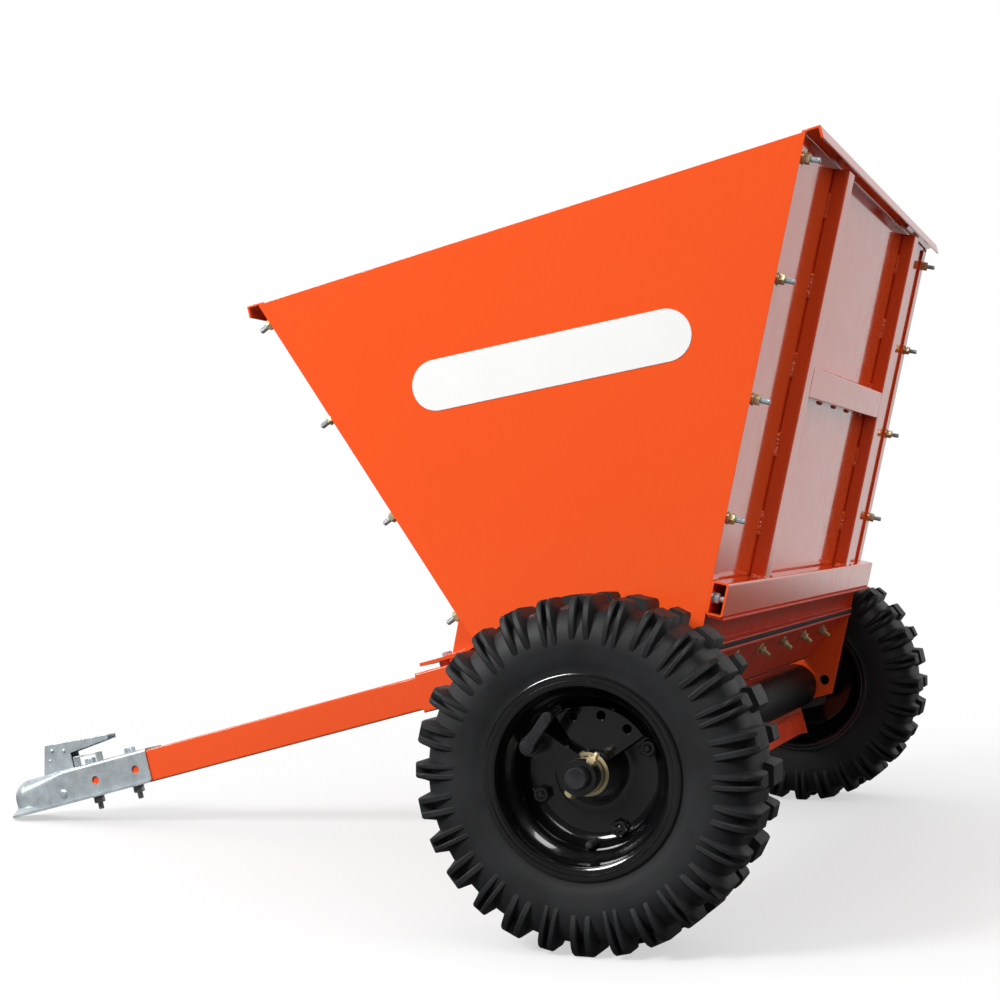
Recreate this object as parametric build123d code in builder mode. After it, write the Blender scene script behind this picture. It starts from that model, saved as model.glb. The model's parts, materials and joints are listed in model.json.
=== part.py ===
"""Towed sand spreader: a sheet-steel hopper over a ground-driven drum, parked on two wheels and its coupler nose.

Millimetres. Shapes are drawn in the machine's own frame: its origin is the axle's centre, x runs forward along
the drawbar, y to the left and z up, square to the drawbar. The machine frame stands nose-down in the part's
frame, at the angle where the wheels and the coupler's nose all touch the floor.
"""
from math import asin, atan2, cos, degrees, hypot, radians, sin, sqrt
import os

from build123d import *

os.makedirs("parts", exist_ok=True)

# Hopper: its outline as x and z in the machine frame, and its sheets
HOPPER_HALF_W = 530.0
TOP_FRONT_X = 307.0
TOP_FRONT_Z = 654.0
TOP_REAR_X = -402.0
TOP_REAR_Z = 635.0
FOOT_FRONT_X = 70.0
FOOT_REAR_X = -55.0
FOOT_Z = -28.0
SHEET = 3.0
FLANGE_W = 30.0
FLANGE_START = 5.0
TOP_FLANGE_W = 20.0
LIP_OUT = 14.0
LIP_DROP = 12.0
SHAFT_HOLE_R = 18.0
DRAIN_HOLE_R = 8.0
DRAIN_HOLE_UP = 25.0
DRAIN_HOLE_IN = 20.0

# Stiffening tubes on the sloping walls; a beam's and the crossbar's distance is down the slope to its middle
BAR_W = 40.0
BAR_DEPTH = 20.0
BAR_WALL = 2.5
STIFFENER_Y = 300.0
STIFFENER_START = 8.0
CROSSBAR_DIST = 270.0
REAR_BEAM_DIST = 541.0
FRONT_BEAM_W = 60.0
FRONT_BEAM_DEPTH = 40.0
FRONT_BEAM_WALL = 4.0
FRONT_WALL_PAST = 25.0

# Drum, chutes, gate and the tie under the drum
DRUM_R = 36.0
DRUM_WALL = 5.0
DRUM_CAP = 6.0
DRUM_END_GAP = 9.0
DRUM_CLEAR = 6.0
LEDGE_PAST = 4.0
CHUTE_L = 43.0
CHUTE_IN = 11.0
CHUTE_FOLD = 14.0
GATE_SLOPE = 36.0
GATE_L = 94.0
GATE_T = 4.0
WIPER_T = 6.0
WIPER_PAST = 10.0
FRONT_CHUTE_BACK = 15.0
FRONT_CHUTE_FOLD = 40.0
FRONT_CHUTE_ANGLE = 18.0
TIE_LEG = 32.0
TIE_T = 4.0
TIE_X = 6.0
TIE_CLEAR = 10.0
EAR_MARGIN = 3.0

# Shaft, bearings and clearances
SHAFT_R = 12.5
SHAFT_PAST = 88.0
SHAFT_CHAMFER = 1.5
BEARING_PLATE_W = 84.0
BEARING_PLATE_T = 10.0
BEARING_CORNER_R = 14.0
BEARING_BOSS_R = 29.0
BEARING_DEPTH = 20.0
RUNNING_GAP = 0.05
SEAT_GAP = 0.1
THRUST_GAP = 0.5

# Wheels: radii from the axle, widths from the tyre's middle
TYRE_R = 198.0
TYRE_HALF_W = 75.0
TYRE_GAP = 21.0
TYRE_WALL = 14.0
TYRE_CROWN = 15.0
SIDEWALL_HALF_W = 72.0
SHOULDER = 16.0
LUG_H = 11.0
LUG_PAIRS = 14
LUG_WIDE = 24.0
LUG_NARROW = 17.0
LUG_ROOT = 4.0
LUG_TOP_HALF_W = 60.0
LUG_EDGE = 12.0
LUG_WIDEST_R = 165.0
LUG_FOOT_R = 146.0
LUG_FOOT_DROP = 9.0
LUG_SINK = 1.0
BEAD_R = 101.0
BEAD_LEDGE = 4.5
FLANGE_R = 113.5
RIM_HALF_W = 71.0
RIM_WELL_R = 86.0
RIM_WELL_HALF_W = 34.0
RIM_SLOPE_W = 12.0
RIM_SHEET = 3.0
DISC_OUT = 6.0
DISC_SHEET = 4.0
HUB_R = 25.0
HUB_PAST = 42.0
HUB_FLANGE_R = 76.0
HUB_FLANGE_T = 6.0
SECTOR_R = 74.0
SECTOR_T = 6.0
SECTOR_BACK = 12.0
SECTOR_START_ANGLE = 72.0
SECTOR_SPAN_ANGLE = 88.0
SECTOR_HOLES = 3
VALVE_R = 4.5
VALVE_L = 32.0
VALVE_ANGLE = -75.0

# Drive arms that lock the wheels to the shaft
COLLAR_R = 20.0
COLLAR_L = 34.0
ARM_T = 8.0
ARM_W = 30.0
ARM_ANGLE = 45.0
PLUNGER_REACH = 65.0
PLUNGER_R = 5.0
PLUNGER_TIP = 5.0
PLUNGER_BOSS_R = 11.0
PLUNGER_BOSS_L = 34.0
PLUNGER_CAP_R = 8.0
LEVER_ANGLE = 140.0
LEVER_L = 52.0
LEVER_W = 12.0
LEVER_T = 9.0

# Drawbar, its sleeve and strut
DRAWBAR_W = 50.0
DRAWBAR_WALL = 4.0
DRAWBAR_Z = 142.0
DRAWBAR_END_X = 1046.0
DRAWBAR_BACK_GAP = 10.0
SLEEVE_WALL = 4.5
SLEEVE_CLEAR = 0.5
SLEEVE_END_X = 433.0
STRUT_W = 40.0
STRUT_WALL = 3.0
STRUT_LEAN_ANGLE = 26.6
STRUT_L = 420.0
FOOT_PLATE_L = 100.0
FOOT_PLATE_W = 56.0
FOOT_PLATE_T = 5.0
FOOT_PLATE_BACK = 11.0
FOOT_STRUT_BACK = 70.0
FOOT_PAD_BACK = 36.0
FOOT_PAD_R = 15.0
FOOT_PAD_H = 8.0

# Coupler
COUPLER_LAP = 139.0
COUPLER_L = 233.0
COUPLER_CLEAR = 0.3
COUPLER_SHEET = 3.0
COUPLER_CORNER_R = 6.0
COUPLER_FLANGE_W = 5.0
COUPLER_HOLE_R = 6.5
COUPLER_HOLE_PITCH = 74.0
COUPLER_HOLE_IN = 24.0
BLEND_L = 80.0
CROWN_FLAT = 1.0
BALL_R = 25.2
NOSE_R = 39.0
NOSE_EDGE = 3.5
NOSE_FLARE = 9.0
JAW_L = 56.0
JAW_H = 30.0
JAW_HALF_W = 17.0
JAW_LIFT = 5.0
JAW_GAP = 1.0
JAW_PIN_R = 6.0
JAW_PIN_BACK = 73.0
JAW_PIN_UP = 17.0

# Latch lever and its trigger, placed back from the ball's centre
LATCH_BACK = 36.0
LATCH_HALF_W = 13.0
LATCH_SHEET = 2.5
LATCH_H = 46.0
LATCH_RAKE = 13.0
LATCH_L = 129.0
LATCH_TIP_H = 7.0
LATCH_TIP_DROP = 9.0
LATCH_GRIP_H = 22.0
LATCH_CHEEK_L = 56.0
TRIGGER_L = 44.0
TRIGGER_H = 17.0
TRIGGER_HALF_W = 9.0

SIDES = (("left", 1), ("right", -1))

# Side-view points and directions
top_front = Vector(TOP_FRONT_X, TOP_FRONT_Z)
top_rear = Vector(TOP_REAR_X, TOP_REAR_Z)
foot_front = Vector(FOOT_FRONT_X, FOOT_Z)
foot_rear = Vector(FOOT_REAR_X, FOOT_Z)
along_top = (top_front - top_rear).normalized()
lip_down = Vector(along_top.Y, -along_top.X)
down_rear = (foot_rear - top_rear).normalized()
down_front = (foot_front - top_front).normalized()
out_rear = Vector(down_rear.Y, -down_rear.X)
out_front = Vector(-down_front.Y, down_front.X)
inner_half_w = HOPPER_HALF_W - SHEET

# Places across the machine
wheel_y = HOPPER_HALF_W + TYRE_GAP + TYRE_HALF_W
disc_y = wheel_y + DISC_OUT
hub_start_y = HOPPER_HALF_W + BEARING_DEPTH + THRUST_GAP
hub_end_y = wheel_y + HUB_PAST
shaft_end_y = wheel_y + SHAFT_PAST
drum_half_l = inner_half_w - DRUM_END_GAP

# The nose-down angle at which the lugs' flat tops and the nose stand on one floor
lug_top = sqrt(TYRE_R**2 - (LUG_WIDE / 2) ** 2)
coupler_x = DRAWBAR_END_X - COUPLER_LAP
coupler_foot_z = DRAWBAR_Z - DRAWBAR_W / 2
ball_x = coupler_x + COUPLER_L
nose = Vector(ball_x + NOSE_R, coupler_foot_z)
tilt = atan2(nose.Y, nose.X) + asin(lug_top / hypot(nose.X, nose.Y))


def reach(point):
    """How far ahead of the axle a side-view point lies, once the machine stands nose-down."""
    return point.X * cos(tilt) + point.Y * sin(tilt)


lip_tip = top_rear - along_top * (LIP_OUT + SHEET) + lip_down * LIP_DROP
nose_tip = nose + Vector(0, NOSE_EDGE)
axle_x = -(reach(lip_tip) + reach(nose_tip)) / 2
machine = Plane(origin=(axle_x, 0, lug_top), x_dir=(cos(tilt), 0, -sin(tilt)), z_dir=(sin(tilt), 0, cos(tilt)))
axle = Axis(machine.origin, machine.y_dir)


def turn(angle):
    """The side-view direction at an angle in degrees, up from forward."""
    return Vector(cos(radians(angle)), sin(radians(angle)))


def side(y):
    """A lengthwise plane at y: its sketch runs forward and up, and its normal points right."""
    return Plane(origin=machine.from_local_coords((0, y, 0)), x_dir=machine.x_dir, z_dir=-machine.y_dir)


def cross(x):
    """A plane across the machine at x: its sketch runs left and up, and its normal points forward."""
    return Plane(origin=machine.from_local_coords((x, 0, 0)), x_dir=machine.y_dir, z_dir=machine.x_dir)


def level(z):
    """A plane square to the machine's z at z: its sketch runs forward and left, and its normal points up."""
    return Plane(origin=machine.from_local_coords((0, 0, z)), x_dir=machine.x_dir, z_dir=machine.z_dir)


def wheel_section(toward, y, angle):
    """A plane through the axle at a wheel: its sketch runs across the tyre and out along the angle."""
    across = machine.y_dir * toward
    out = machine.x_dir * cos(radians(angle)) + machine.z_dir * sin(radians(angle))
    return Plane(origin=machine.from_local_coords((0, y, 0)), x_dir=across, z_dir=across.cross(out))


def wall(top, foot, hand):
    """A plane on a sloping wall: its sketch runs across and down the slope, and its normal points out."""
    start = machine.from_local_coords((top.X, 0, top.Y))
    down = (machine.from_local_coords((foot.X, 0, foot.Y)) - start).normalized()
    across = machine.y_dir * hand
    return Plane(origin=start, x_dir=across, z_dir=across.cross(down))


rear_wall = wall(top_rear, foot_rear, 1)
front_wall = wall(top_front, foot_front, -1)


def wall_section(slope):
    """The lengthwise plane of a wall: its sketch runs down the slope and out of the wall."""
    return Plane(origin=slope.origin, x_dir=slope.y_dir, z_dir=slope.x_dir)


def wall_cut(slope, distance):
    """A plane across a wall at a distance down its slope: its sketch runs across and out, its normal points up."""
    return Plane(origin=slope.from_local_coords((0, distance, 0)), x_dir=slope.x_dir, z_dir=-slope.y_dir)


def hollow(width, height, thickness):
    """A rectangular tube's section, drawn in the sketch that is open."""
    Rectangle(width, height)
    Rectangle(width - 2 * thickness, height - 2 * thickness, mode=Mode.SUBTRACT)


def keep(piece, name):
    """Label one finished piece and write it to its own file."""
    piece.part.label = name
    export_step(piece.part, f"parts/{name}.step")


# Side panels: flat sheets with the flanges that the sloping walls bolt to, and an ear for the tie
tie_corner = Vector(TIE_X, -(DRUM_R + TIE_CLEAR + TIE_LEG))
ear_back = tie_corner.X - EAR_MARGIN
ear_foot = tie_corner.Y - EAR_MARGIN
ear_front = foot_front + down_front * ((foot_front.Y - ear_foot) / -down_front.Y)
drain_hole = foot_rear + down_rear * (DRAIN_HOLE_UP / down_rear.Y) + Vector(DRAIN_HOLE_IN, 0)
rear_beam_foot = REAR_BEAM_DIST + BAR_W / 2
front_beam_dist = (top_front.Y + out_front.Y * FRONT_BEAM_DEPTH / 2 - DRAWBAR_Z) / -down_front.Y
front_wall_l = front_beam_dist + FRONT_BEAM_W / 2 + FRONT_WALL_PAST
flanged_walls = ((rear_wall, 1, rear_beam_foot), (front_wall, -1, front_wall_l))
rim_rear = top_rear + along_top * (2 * SHEET / abs(down_rear.cross(along_top).Z))
rim_front = top_front - along_top * (2 * SHEET / abs(down_front.cross(along_top).Z))

for name, hand in SIDES:
    with BuildPart() as side_panel:
        with BuildSketch(side(hand * HOPPER_HALF_W)):
            with BuildLine():
                Polyline(
                    top_front,
                    top_rear,
                    foot_rear,
                    Vector(ear_back, foot_rear.Y),
                    Vector(ear_back, ear_foot),
                    ear_front,
                    close=True,
                )
            make_face()
            Circle(SHAFT_HOLE_R, mode=Mode.SUBTRACT)
            with Locations(drain_hole):
                Circle(DRAIN_HOLE_R, mode=Mode.SUBTRACT)
        extrude(amount=hand * SHEET)
        with BuildSketch(side(hand * inner_half_w)):
            with BuildLine():
                Polyline(
                    rim_rear,
                    rim_front,
                    rim_front + down_front * (SHEET / lip_down.dot(down_front)),
                    rim_rear + down_rear * (SHEET / lip_down.dot(down_rear)),
                    close=True,
                )
            make_face()
        extrude(amount=hand * (TOP_FLANGE_W - SHEET))
        for slope, across, length in flanged_walls:
            flange_mid = hand * across * (HOPPER_HALF_W - (FLANGE_W + SHEET) / 2)
            with BuildSketch(slope.offset(-SHEET)):
                with Locations((flange_mid, (FLANGE_START + length) / 2)):
                    Rectangle(FLANGE_W - SHEET, length - FLANGE_START)
            extrude(amount=SHEET)
    keep(side_panel, f"side_panel_{name}")

# Sloping walls: each one sheet, with its top folded out and down into a lip
folded_walls = (
    ("rear_panel", top_rear, down_rear, along_top, rear_beam_foot, Side.RIGHT),
    ("front_panel", top_front, down_front, -along_top, front_wall_l, Side.LEFT),
)
for name, top, down, inward, length, sheet_side in folded_walls:
    inset = inward * (SHEET / abs(down.cross(inward).Z))
    corner = top + inset
    foot = corner + down * (length - inset.dot(down))
    lip = top - inward * LIP_OUT
    with BuildPart() as panel:
        with BuildSketch(side(0)):
            with BuildLine():
                Polyline(foot, corner, lip, lip + lip_down * LIP_DROP)
                offset(amount=SHEET, side=sheet_side, kind=Kind.INTERSECTION)
            make_face()
        extrude(amount=inner_half_w, both=True)
    keep(panel, name)

# Stiffening tubes: uprights on both walls, the rear crossbar, and a beam along each wall's foot
beams = (
    ("rear", rear_wall, REAR_BEAM_DIST, BAR_W, BAR_DEPTH, BAR_WALL),
    ("front", front_wall, front_beam_dist, FRONT_BEAM_W, FRONT_BEAM_DEPTH, FRONT_BEAM_WALL),
)
for end, slope, distance, width, depth, thickness in beams:
    with BuildPart() as beam:
        with BuildSketch(wall_section(slope)):
            with Locations((distance, depth / 2)):
                hollow(width, depth, thickness)
        extrude(amount=HOPPER_HALF_W, both=True)
    keep(beam, f"{end}_beam")
    upright_foot = distance - width / 2
    across = slope.x_dir.dot(machine.y_dir)
    for name, hand in SIDES:
        with BuildPart() as stiffener:
            with BuildSketch(wall_cut(slope, upright_foot)):
                with Locations((hand * across * STIFFENER_Y, BAR_DEPTH / 2 - SHEET)):
                    hollow(BAR_W, BAR_DEPTH, BAR_WALL)
            extrude(amount=upright_foot - STIFFENER_START)
        keep(stiffener, f"{end}_stiffener_{name}")

with BuildPart() as rear_crossbar:
    with BuildSketch(wall_section(rear_wall)):
        with Locations((CROSSBAR_DIST, BAR_DEPTH / 2 - SHEET)):
            hollow(BAR_W, BAR_DEPTH, BAR_WALL)
    extrude(amount=STIFFENER_Y - BAR_W / 2, both=True)
keep(rear_crossbar, "rear_crossbar")

# Rear chute: a ledge under the beam, a sheet that slopes in, and a fold at its foot
ledge_start = top_rear + down_rear * rear_beam_foot
chute_foot = ledge_start + down_rear * CHUTE_L - out_rear * CHUTE_IN
with BuildPart() as rear_chute:
    with BuildSketch(side(0)):
        with BuildLine():
            Polyline(
                ledge_start + out_rear * (BAR_DEPTH + LEDGE_PAST),
                ledge_start - out_rear * SHEET,
                chute_foot,
                chute_foot + out_rear * CHUTE_FOLD,
            )
            offset(amount=SHEET, side=Side.RIGHT, kind=Kind.INTERSECTION)
        make_face()
    extrude(amount=inner_half_w, both=True)
keep(rear_chute, "rear_chute")

# Gate plate and rubber wiper: the rubber is clamped under the chute's fold and hangs towards the drum
gate_way = turn(-GATE_SLOPE)
gate_bend = chute_foot + down_rear * WIPER_T
gate_start = gate_bend + out_rear * CHUTE_FOLD
clamped = (
    ("gate_plate", GATE_L, GATE_T, Side.RIGHT),
    ("wiper", GATE_L + WIPER_PAST, WIPER_T, Side.LEFT),
)
for name, length, thickness, sheet_side in clamped:
    with BuildPart() as strip:
        with BuildSketch(side(0)):
            with BuildLine():
                Polyline(gate_start, gate_bend, gate_bend + gate_way * length)
                offset(amount=thickness, side=sheet_side, kind=Kind.INTERSECTION)
            make_face()
        extrude(amount=inner_half_w, both=True)
    keep(strip, name)

# Front chute: folded against the front panel, it leads the sand down to the drum
front_bend = top_front + down_front * (front_wall_l - FRONT_CHUTE_BACK) - out_front * (2 * SHEET)
front_foot = turn(FRONT_CHUTE_ANGLE) * (DRUM_R + DRUM_CLEAR + SHEET)
with BuildPart() as front_chute:
    with BuildSketch(side(0)):
        with BuildLine():
            Polyline(front_bend - down_front * FRONT_CHUTE_FOLD, front_bend, front_foot)
            offset(amount=SHEET, side=Side.RIGHT, kind=Kind.INTERSECTION)
        make_face()
    extrude(amount=inner_half_w, both=True)
keep(front_chute, "front_chute")

# Angle-section tie between the side panels' ears, under the drum
with BuildPart() as cross_angle:
    with BuildSketch(side(0)):
        with BuildLine():
            Polyline(tie_corner + Vector(0, TIE_LEG), tie_corner, tie_corner + Vector(TIE_LEG, 0))
            offset(amount=TIE_T, side=Side.LEFT, kind=Kind.INTERSECTION)
        make_face()
    extrude(amount=inner_half_w, both=True)
keep(cross_angle, "cross_angle")

# Bearing housings on the side panels
for name, hand in SIDES:
    with BuildPart() as bearing:
        with BuildSketch(side(hand * HOPPER_HALF_W)):
            RectangleRounded(BEARING_PLATE_W, BEARING_PLATE_W, BEARING_CORNER_R)
        extrude(amount=-hand * BEARING_PLATE_T)
        with BuildSketch(side(hand * HOPPER_HALF_W)):
            Circle(BEARING_BOSS_R)
        extrude(amount=-hand * BEARING_DEPTH)
        with BuildSketch(side(hand * HOPPER_HALF_W)):
            Circle(SHAFT_R + RUNNING_GAP)
        extrude(amount=-hand * BEARING_DEPTH, mode=Mode.SUBTRACT)
    keep(bearing, f"bearing_{name}")

# Drum on its through shaft
with BuildPart() as shaft:
    with BuildSketch(side(0)):
        Circle(SHAFT_R)
    extrude(amount=shaft_end_y, both=True)
    chamfer(edges().filter_by(GeomType.CIRCLE), SHAFT_CHAMFER)
keep(shaft, "shaft")

with BuildPart() as drum:
    with BuildSketch(side(0)):
        Circle(DRUM_R)
        Circle(DRUM_R - DRUM_WALL, mode=Mode.SUBTRACT)
    extrude(amount=drum_half_l, both=True)
    for name, hand in SIDES:
        with BuildSketch(side(hand * drum_half_l)):
            Circle(DRUM_R)
            Circle(SHAFT_R + SEAT_GAP, mode=Mode.SUBTRACT)
        extrude(amount=hand * DRUM_CAP)
keep(drum, "drum")

# Drive arms: collars pinned to the shaft, each with a spring plunger that can lock its wheel
plunger_at = turn(ARM_ANGLE) * PLUNGER_REACH
collar_y = hub_end_y + THRUST_GAP
lever_y = collar_y + PLUNGER_BOSS_L
lever_mid = plunger_at + turn(LEVER_ANGLE) * ((LEVER_L - LEVER_W) / 2)
for name, hand in SIDES:
    with BuildPart() as drive_arm:
        with BuildSketch(side(hand * collar_y)):
            Circle(COLLAR_R)
        extrude(amount=-hand * COLLAR_L)
        with BuildSketch(side(hand * collar_y)):
            with Locations(plunger_at / 2):
                SlotCenterToCenter(PLUNGER_REACH, ARM_W, rotation=ARM_ANGLE)
        extrude(amount=-hand * ARM_T)
        with BuildSketch(side(hand * collar_y)):
            with Locations(plunger_at):
                Circle(PLUNGER_BOSS_R)
        extrude(amount=-hand * PLUNGER_BOSS_L)
        with BuildSketch(side(hand * collar_y)):
            Circle(SHAFT_R + SEAT_GAP)
            with Locations(plunger_at):
                Circle(PLUNGER_R + SEAT_GAP)
        extrude(amount=-hand * max(COLLAR_L, PLUNGER_BOSS_L), mode=Mode.SUBTRACT)
    keep(drive_arm, f"drive_arm_{name}")

    with BuildPart() as plunger:
        with BuildSketch(side(hand * (collar_y - PLUNGER_TIP))):
            with Locations(plunger_at):
                Circle(PLUNGER_R)
        extrude(amount=-hand * (PLUNGER_BOSS_L + PLUNGER_TIP))
        with BuildSketch(side(hand * lever_y)):
            with Locations(plunger_at):
                Circle(PLUNGER_CAP_R)
            with Locations(lever_mid):
                SlotCenterToCenter(LEVER_L - LEVER_W, LEVER_W, rotation=LEVER_ANGLE)
        extrude(amount=-hand * LEVER_T)
    keep(plunger, f"plunger_{name}")

# Wheels: a hub that runs on the shaft, a pressed rim with its disc, the lugged tyre and its valve
bead_foot = RIM_WELL_HALF_W + RIM_SLOPE_W
bead_side = RIM_HALF_W - RIM_SHEET
crown_r = TYRE_R - LUG_H
lug_pitch = 360 / LUG_PAIRS
flats = 2 * LUG_PAIRS
floor_angle = degrees(tilt) - 90
sector_y = hub_end_y - SECTOR_BACK - SECTOR_T
sector_step = SECTOR_SPAN_ANGLE / SECTOR_HOLES
valve_at = turn(VALVE_ANGLE) * (RIM_WELL_R - RIM_SHEET - SEAT_GAP - VALVE_R)
# Hollows of the tyre: radius, and from and to across the tyre
hollows = (
    (crown_r - TYRE_CROWN, TYRE_WALL - SIDEWALL_HALF_W, SIDEWALL_HALF_W - TYRE_WALL),
    (BEAD_R + SEAT_GAP, -TYRE_HALF_W, TYRE_HALF_W),
    (FLANGE_R + BEAD_LEDGE, bead_side, TYRE_HALF_W),
    (FLANGE_R + BEAD_LEDGE, -TYRE_HALF_W, -bead_side),
)
# Lug rows: edge of the tyre, place in the pitch, width, inner end, radius of the foot on the sidewall
lug_rows = (
    (1, 0.0, LUG_WIDE, LUG_ROOT, LUG_FOOT_R),
    (1, 0.5, LUG_NARROW, LUG_WIDE, LUG_FOOT_R - LUG_FOOT_DROP),
    (-1, 0.5, LUG_WIDE, LUG_ROOT, LUG_FOOT_R),
    (-1, 0.0, LUG_NARROW, LUG_WIDE, LUG_FOOT_R - LUG_FOOT_DROP),
)
for name, hand in SIDES:
    wheel_plane = wheel_section(hand, hand * wheel_y, 90)
    with BuildPart() as hub:
        with BuildSketch(side(hand * hub_start_y)):
            Circle(HUB_R)
        extrude(amount=-hand * (hub_end_y - hub_start_y))
        with BuildSketch(side(hand * disc_y)):
            Circle(HUB_FLANGE_R)
        extrude(amount=hand * HUB_FLANGE_T)
        with BuildSketch(side(hand * sector_y)):
            with BuildLine():
                arc = CenterArc((0, 0), SECTOR_R, SECTOR_START_ANGLE, SECTOR_SPAN_ANGLE)
                Polyline(arc @ 1, (0, 0), arc @ 0)
            make_face()
            for i in range(SECTOR_HOLES):
                with Locations(turn(SECTOR_START_ANGLE + (i + 0.5) * sector_step) * PLUNGER_REACH):
                    Circle(PLUNGER_R + SEAT_GAP, mode=Mode.SUBTRACT)
        extrude(amount=-hand * SECTOR_T)
        with BuildSketch(side(hand * hub_start_y)):
            Circle(SHAFT_R + RUNNING_GAP)
        extrude(amount=-hand * (hub_end_y - hub_start_y), mode=Mode.SUBTRACT)
    keep(hub, f"hub_{name}")

    with BuildPart() as rim:
        with BuildSketch(wheel_plane):
            with BuildLine():
                outer = Polyline(
                    (RIM_HALF_W, BEAD_R - RIM_SHEET),
                    (RIM_HALF_W, FLANGE_R),
                    (bead_side, FLANGE_R),
                    (bead_side, BEAD_R),
                    (bead_foot, BEAD_R),
                    (RIM_WELL_HALF_W, RIM_WELL_R),
                    (0, RIM_WELL_R),
                )
                inner = Polyline(
                    outer @ 0,
                    (bead_foot + RIM_SHEET / 2, BEAD_R - RIM_SHEET),
                    (RIM_WELL_HALF_W + RIM_SHEET / 2, RIM_WELL_R - RIM_SHEET),
                    (0, RIM_WELL_R - RIM_SHEET),
                )
                Line(outer @ 1, inner @ 1)
            make_face()
            mirror(about=Plane.YZ)
        revolve(axis=axle)
        with BuildSketch(side(hand * disc_y)):
            Circle(RIM_WELL_R - RIM_SHEET / 2)
            Circle(HUB_R + SEAT_GAP, mode=Mode.SUBTRACT)
        extrude(amount=-hand * DISC_SHEET)
    keep(rim, f"rim_{name}")

    # The tyre has one flat round its crown for each pair of lugs that face each other
    with BuildPart() as tyre:
        with BuildSketch(side(hand * wheel_y)):
            RegularPolygon(crown_r, flats, major_radius=False, rotation=floor_angle + 180 / flats)
        extrude(amount=SIDEWALL_HALF_W, both=True)
        ends = faces().sort_by(axle)
        chamfer(ends[0].edges() + ends[-1].edges(), SHOULDER)
        for radius, start, end in hollows:
            with BuildSketch(side(hand * wheel_y + start)):
                RegularPolygon(radius, flats, major_radius=False, rotation=floor_angle + 180 / flats)
            extrude(amount=start - end, mode=Mode.SUBTRACT)
        for edge, place, width, root, foot_r in lug_rows:
            turns = [floor_angle + (i + place) * lug_pitch for i in range(LUG_PAIRS)]
            with BuildSketch(*[wheel_section(hand * edge, hand * wheel_y, angle) for angle in turns]):
                with BuildLine():
                    Polyline(
                        (root, crown_r - LUG_ROOT),
                        (root, lug_top),
                        (LUG_TOP_HALF_W, lug_top),
                        (LUG_TOP_HALF_W + LUG_EDGE, lug_top - LUG_EDGE),
                        (TYRE_HALF_W, LUG_WIDEST_R),
                        (SIDEWALL_HALF_W - LUG_SINK, foot_r),
                        (SIDEWALL_HALF_W - TYRE_WALL / 2, foot_r),
                        (SIDEWALL_HALF_W - SHOULDER, crown_r - LUG_ROOT),
                        close=True,
                    )
                make_face()
            extrude(amount=width / 2, both=True)
    keep(tyre, f"tyre_{name}")

    with BuildPart() as valve:
        with BuildSketch(side(hand * (disc_y + DISC_SHEET))):
            with Locations(valve_at):
                Circle(VALVE_R)
        extrude(amount=-hand * VALVE_L)
    keep(valve, f"valve_{name}")

# Drawbar in its sleeve, which butts on the front beam, and the strut bolted over them
sleeve_w = DRAWBAR_W + 2 * SLEEVE_CLEAR + 2 * SLEEVE_WALL
sleeve_top = DRAWBAR_Z + sleeve_w / 2
beam_face_start = top_front + out_front * FRONT_BEAM_DEPTH
drawbar_top_drop = beam_face_start.Y - (DRAWBAR_Z + DRAWBAR_W / 2)
drawbar_start_x = beam_face_start.X + down_front.X * drawbar_top_drop / -down_front.Y + DRAWBAR_BACK_GAP
with BuildPart() as drawbar_sleeve:
    with BuildSketch(cross(SLEEVE_END_X)):
        with Locations((0, DRAWBAR_Z)):
            hollow(sleeve_w, sleeve_w, SLEEVE_WALL)
    extrude(amount=-SLEEVE_END_X)
    split(bisect_by=front_wall.offset(FRONT_BEAM_DEPTH), keep=Keep.TOP)
keep(drawbar_sleeve, "drawbar_sleeve")

with BuildPart() as drawbar:
    with BuildSketch(cross(drawbar_start_x)):
        with Locations((0, DRAWBAR_Z)):
            hollow(DRAWBAR_W, DRAWBAR_W, DRAWBAR_WALL)
    extrude(amount=DRAWBAR_END_X - drawbar_start_x)
keep(drawbar, "drawbar")

foot_z = sleeve_top + FOOT_PAD_H
foot_end_x = SLEEVE_END_X - FOOT_PLATE_BACK
lean = radians(STRUT_LEAN_ANGLE)
strut_base = machine.from_local_coords((foot_end_x - FOOT_STRUT_BACK, 0, foot_z))
strut_axis = machine.z_dir * cos(lean) - machine.x_dir * sin(lean)
strut_plane = Plane(origin=strut_base, x_dir=machine.y_dir, z_dir=strut_axis)
with BuildPart() as hitch_strut:
    with BuildSketch(strut_plane.offset(-STRUT_W)):
        hollow(STRUT_W, STRUT_W, STRUT_WALL)
    extrude(amount=STRUT_L)
    split(bisect_by=front_wall.offset(-SHEET), keep=Keep.TOP)
    split(bisect_by=level(foot_z), keep=Keep.TOP)
    with BuildSketch(level(foot_z)):
        with Locations((foot_end_x - FOOT_PLATE_L / 2, 0)):
            Rectangle(FOOT_PLATE_L, FOOT_PLATE_W)
    extrude(amount=FOOT_PLATE_T)
    with BuildSketch(level(sleeve_top)):
        with Locations((foot_end_x - FOOT_PAD_BACK, 0)):
            Circle(FOOT_PAD_R)
    extrude(amount=FOOT_PAD_H)
keep(hitch_strut, "hitch_strut")

# Coupler: a pressed channel over the drawbar's end that rounds into a ball socket at its nose
channel_half = DRAWBAR_W / 2 + COUPLER_CLEAR
coupler_half = channel_half + COUPLER_SHEET
coupler_top = DRAWBAR_Z + coupler_half
socket_r = BALL_R + COUPLER_SHEET
blend_x = ball_x - BLEND_L
flare_z = coupler_foot_z + NOSE_EDGE
ball_axis = Axis(machine.from_local_coords((ball_x, 0, 0)), machine.z_dir)
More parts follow.
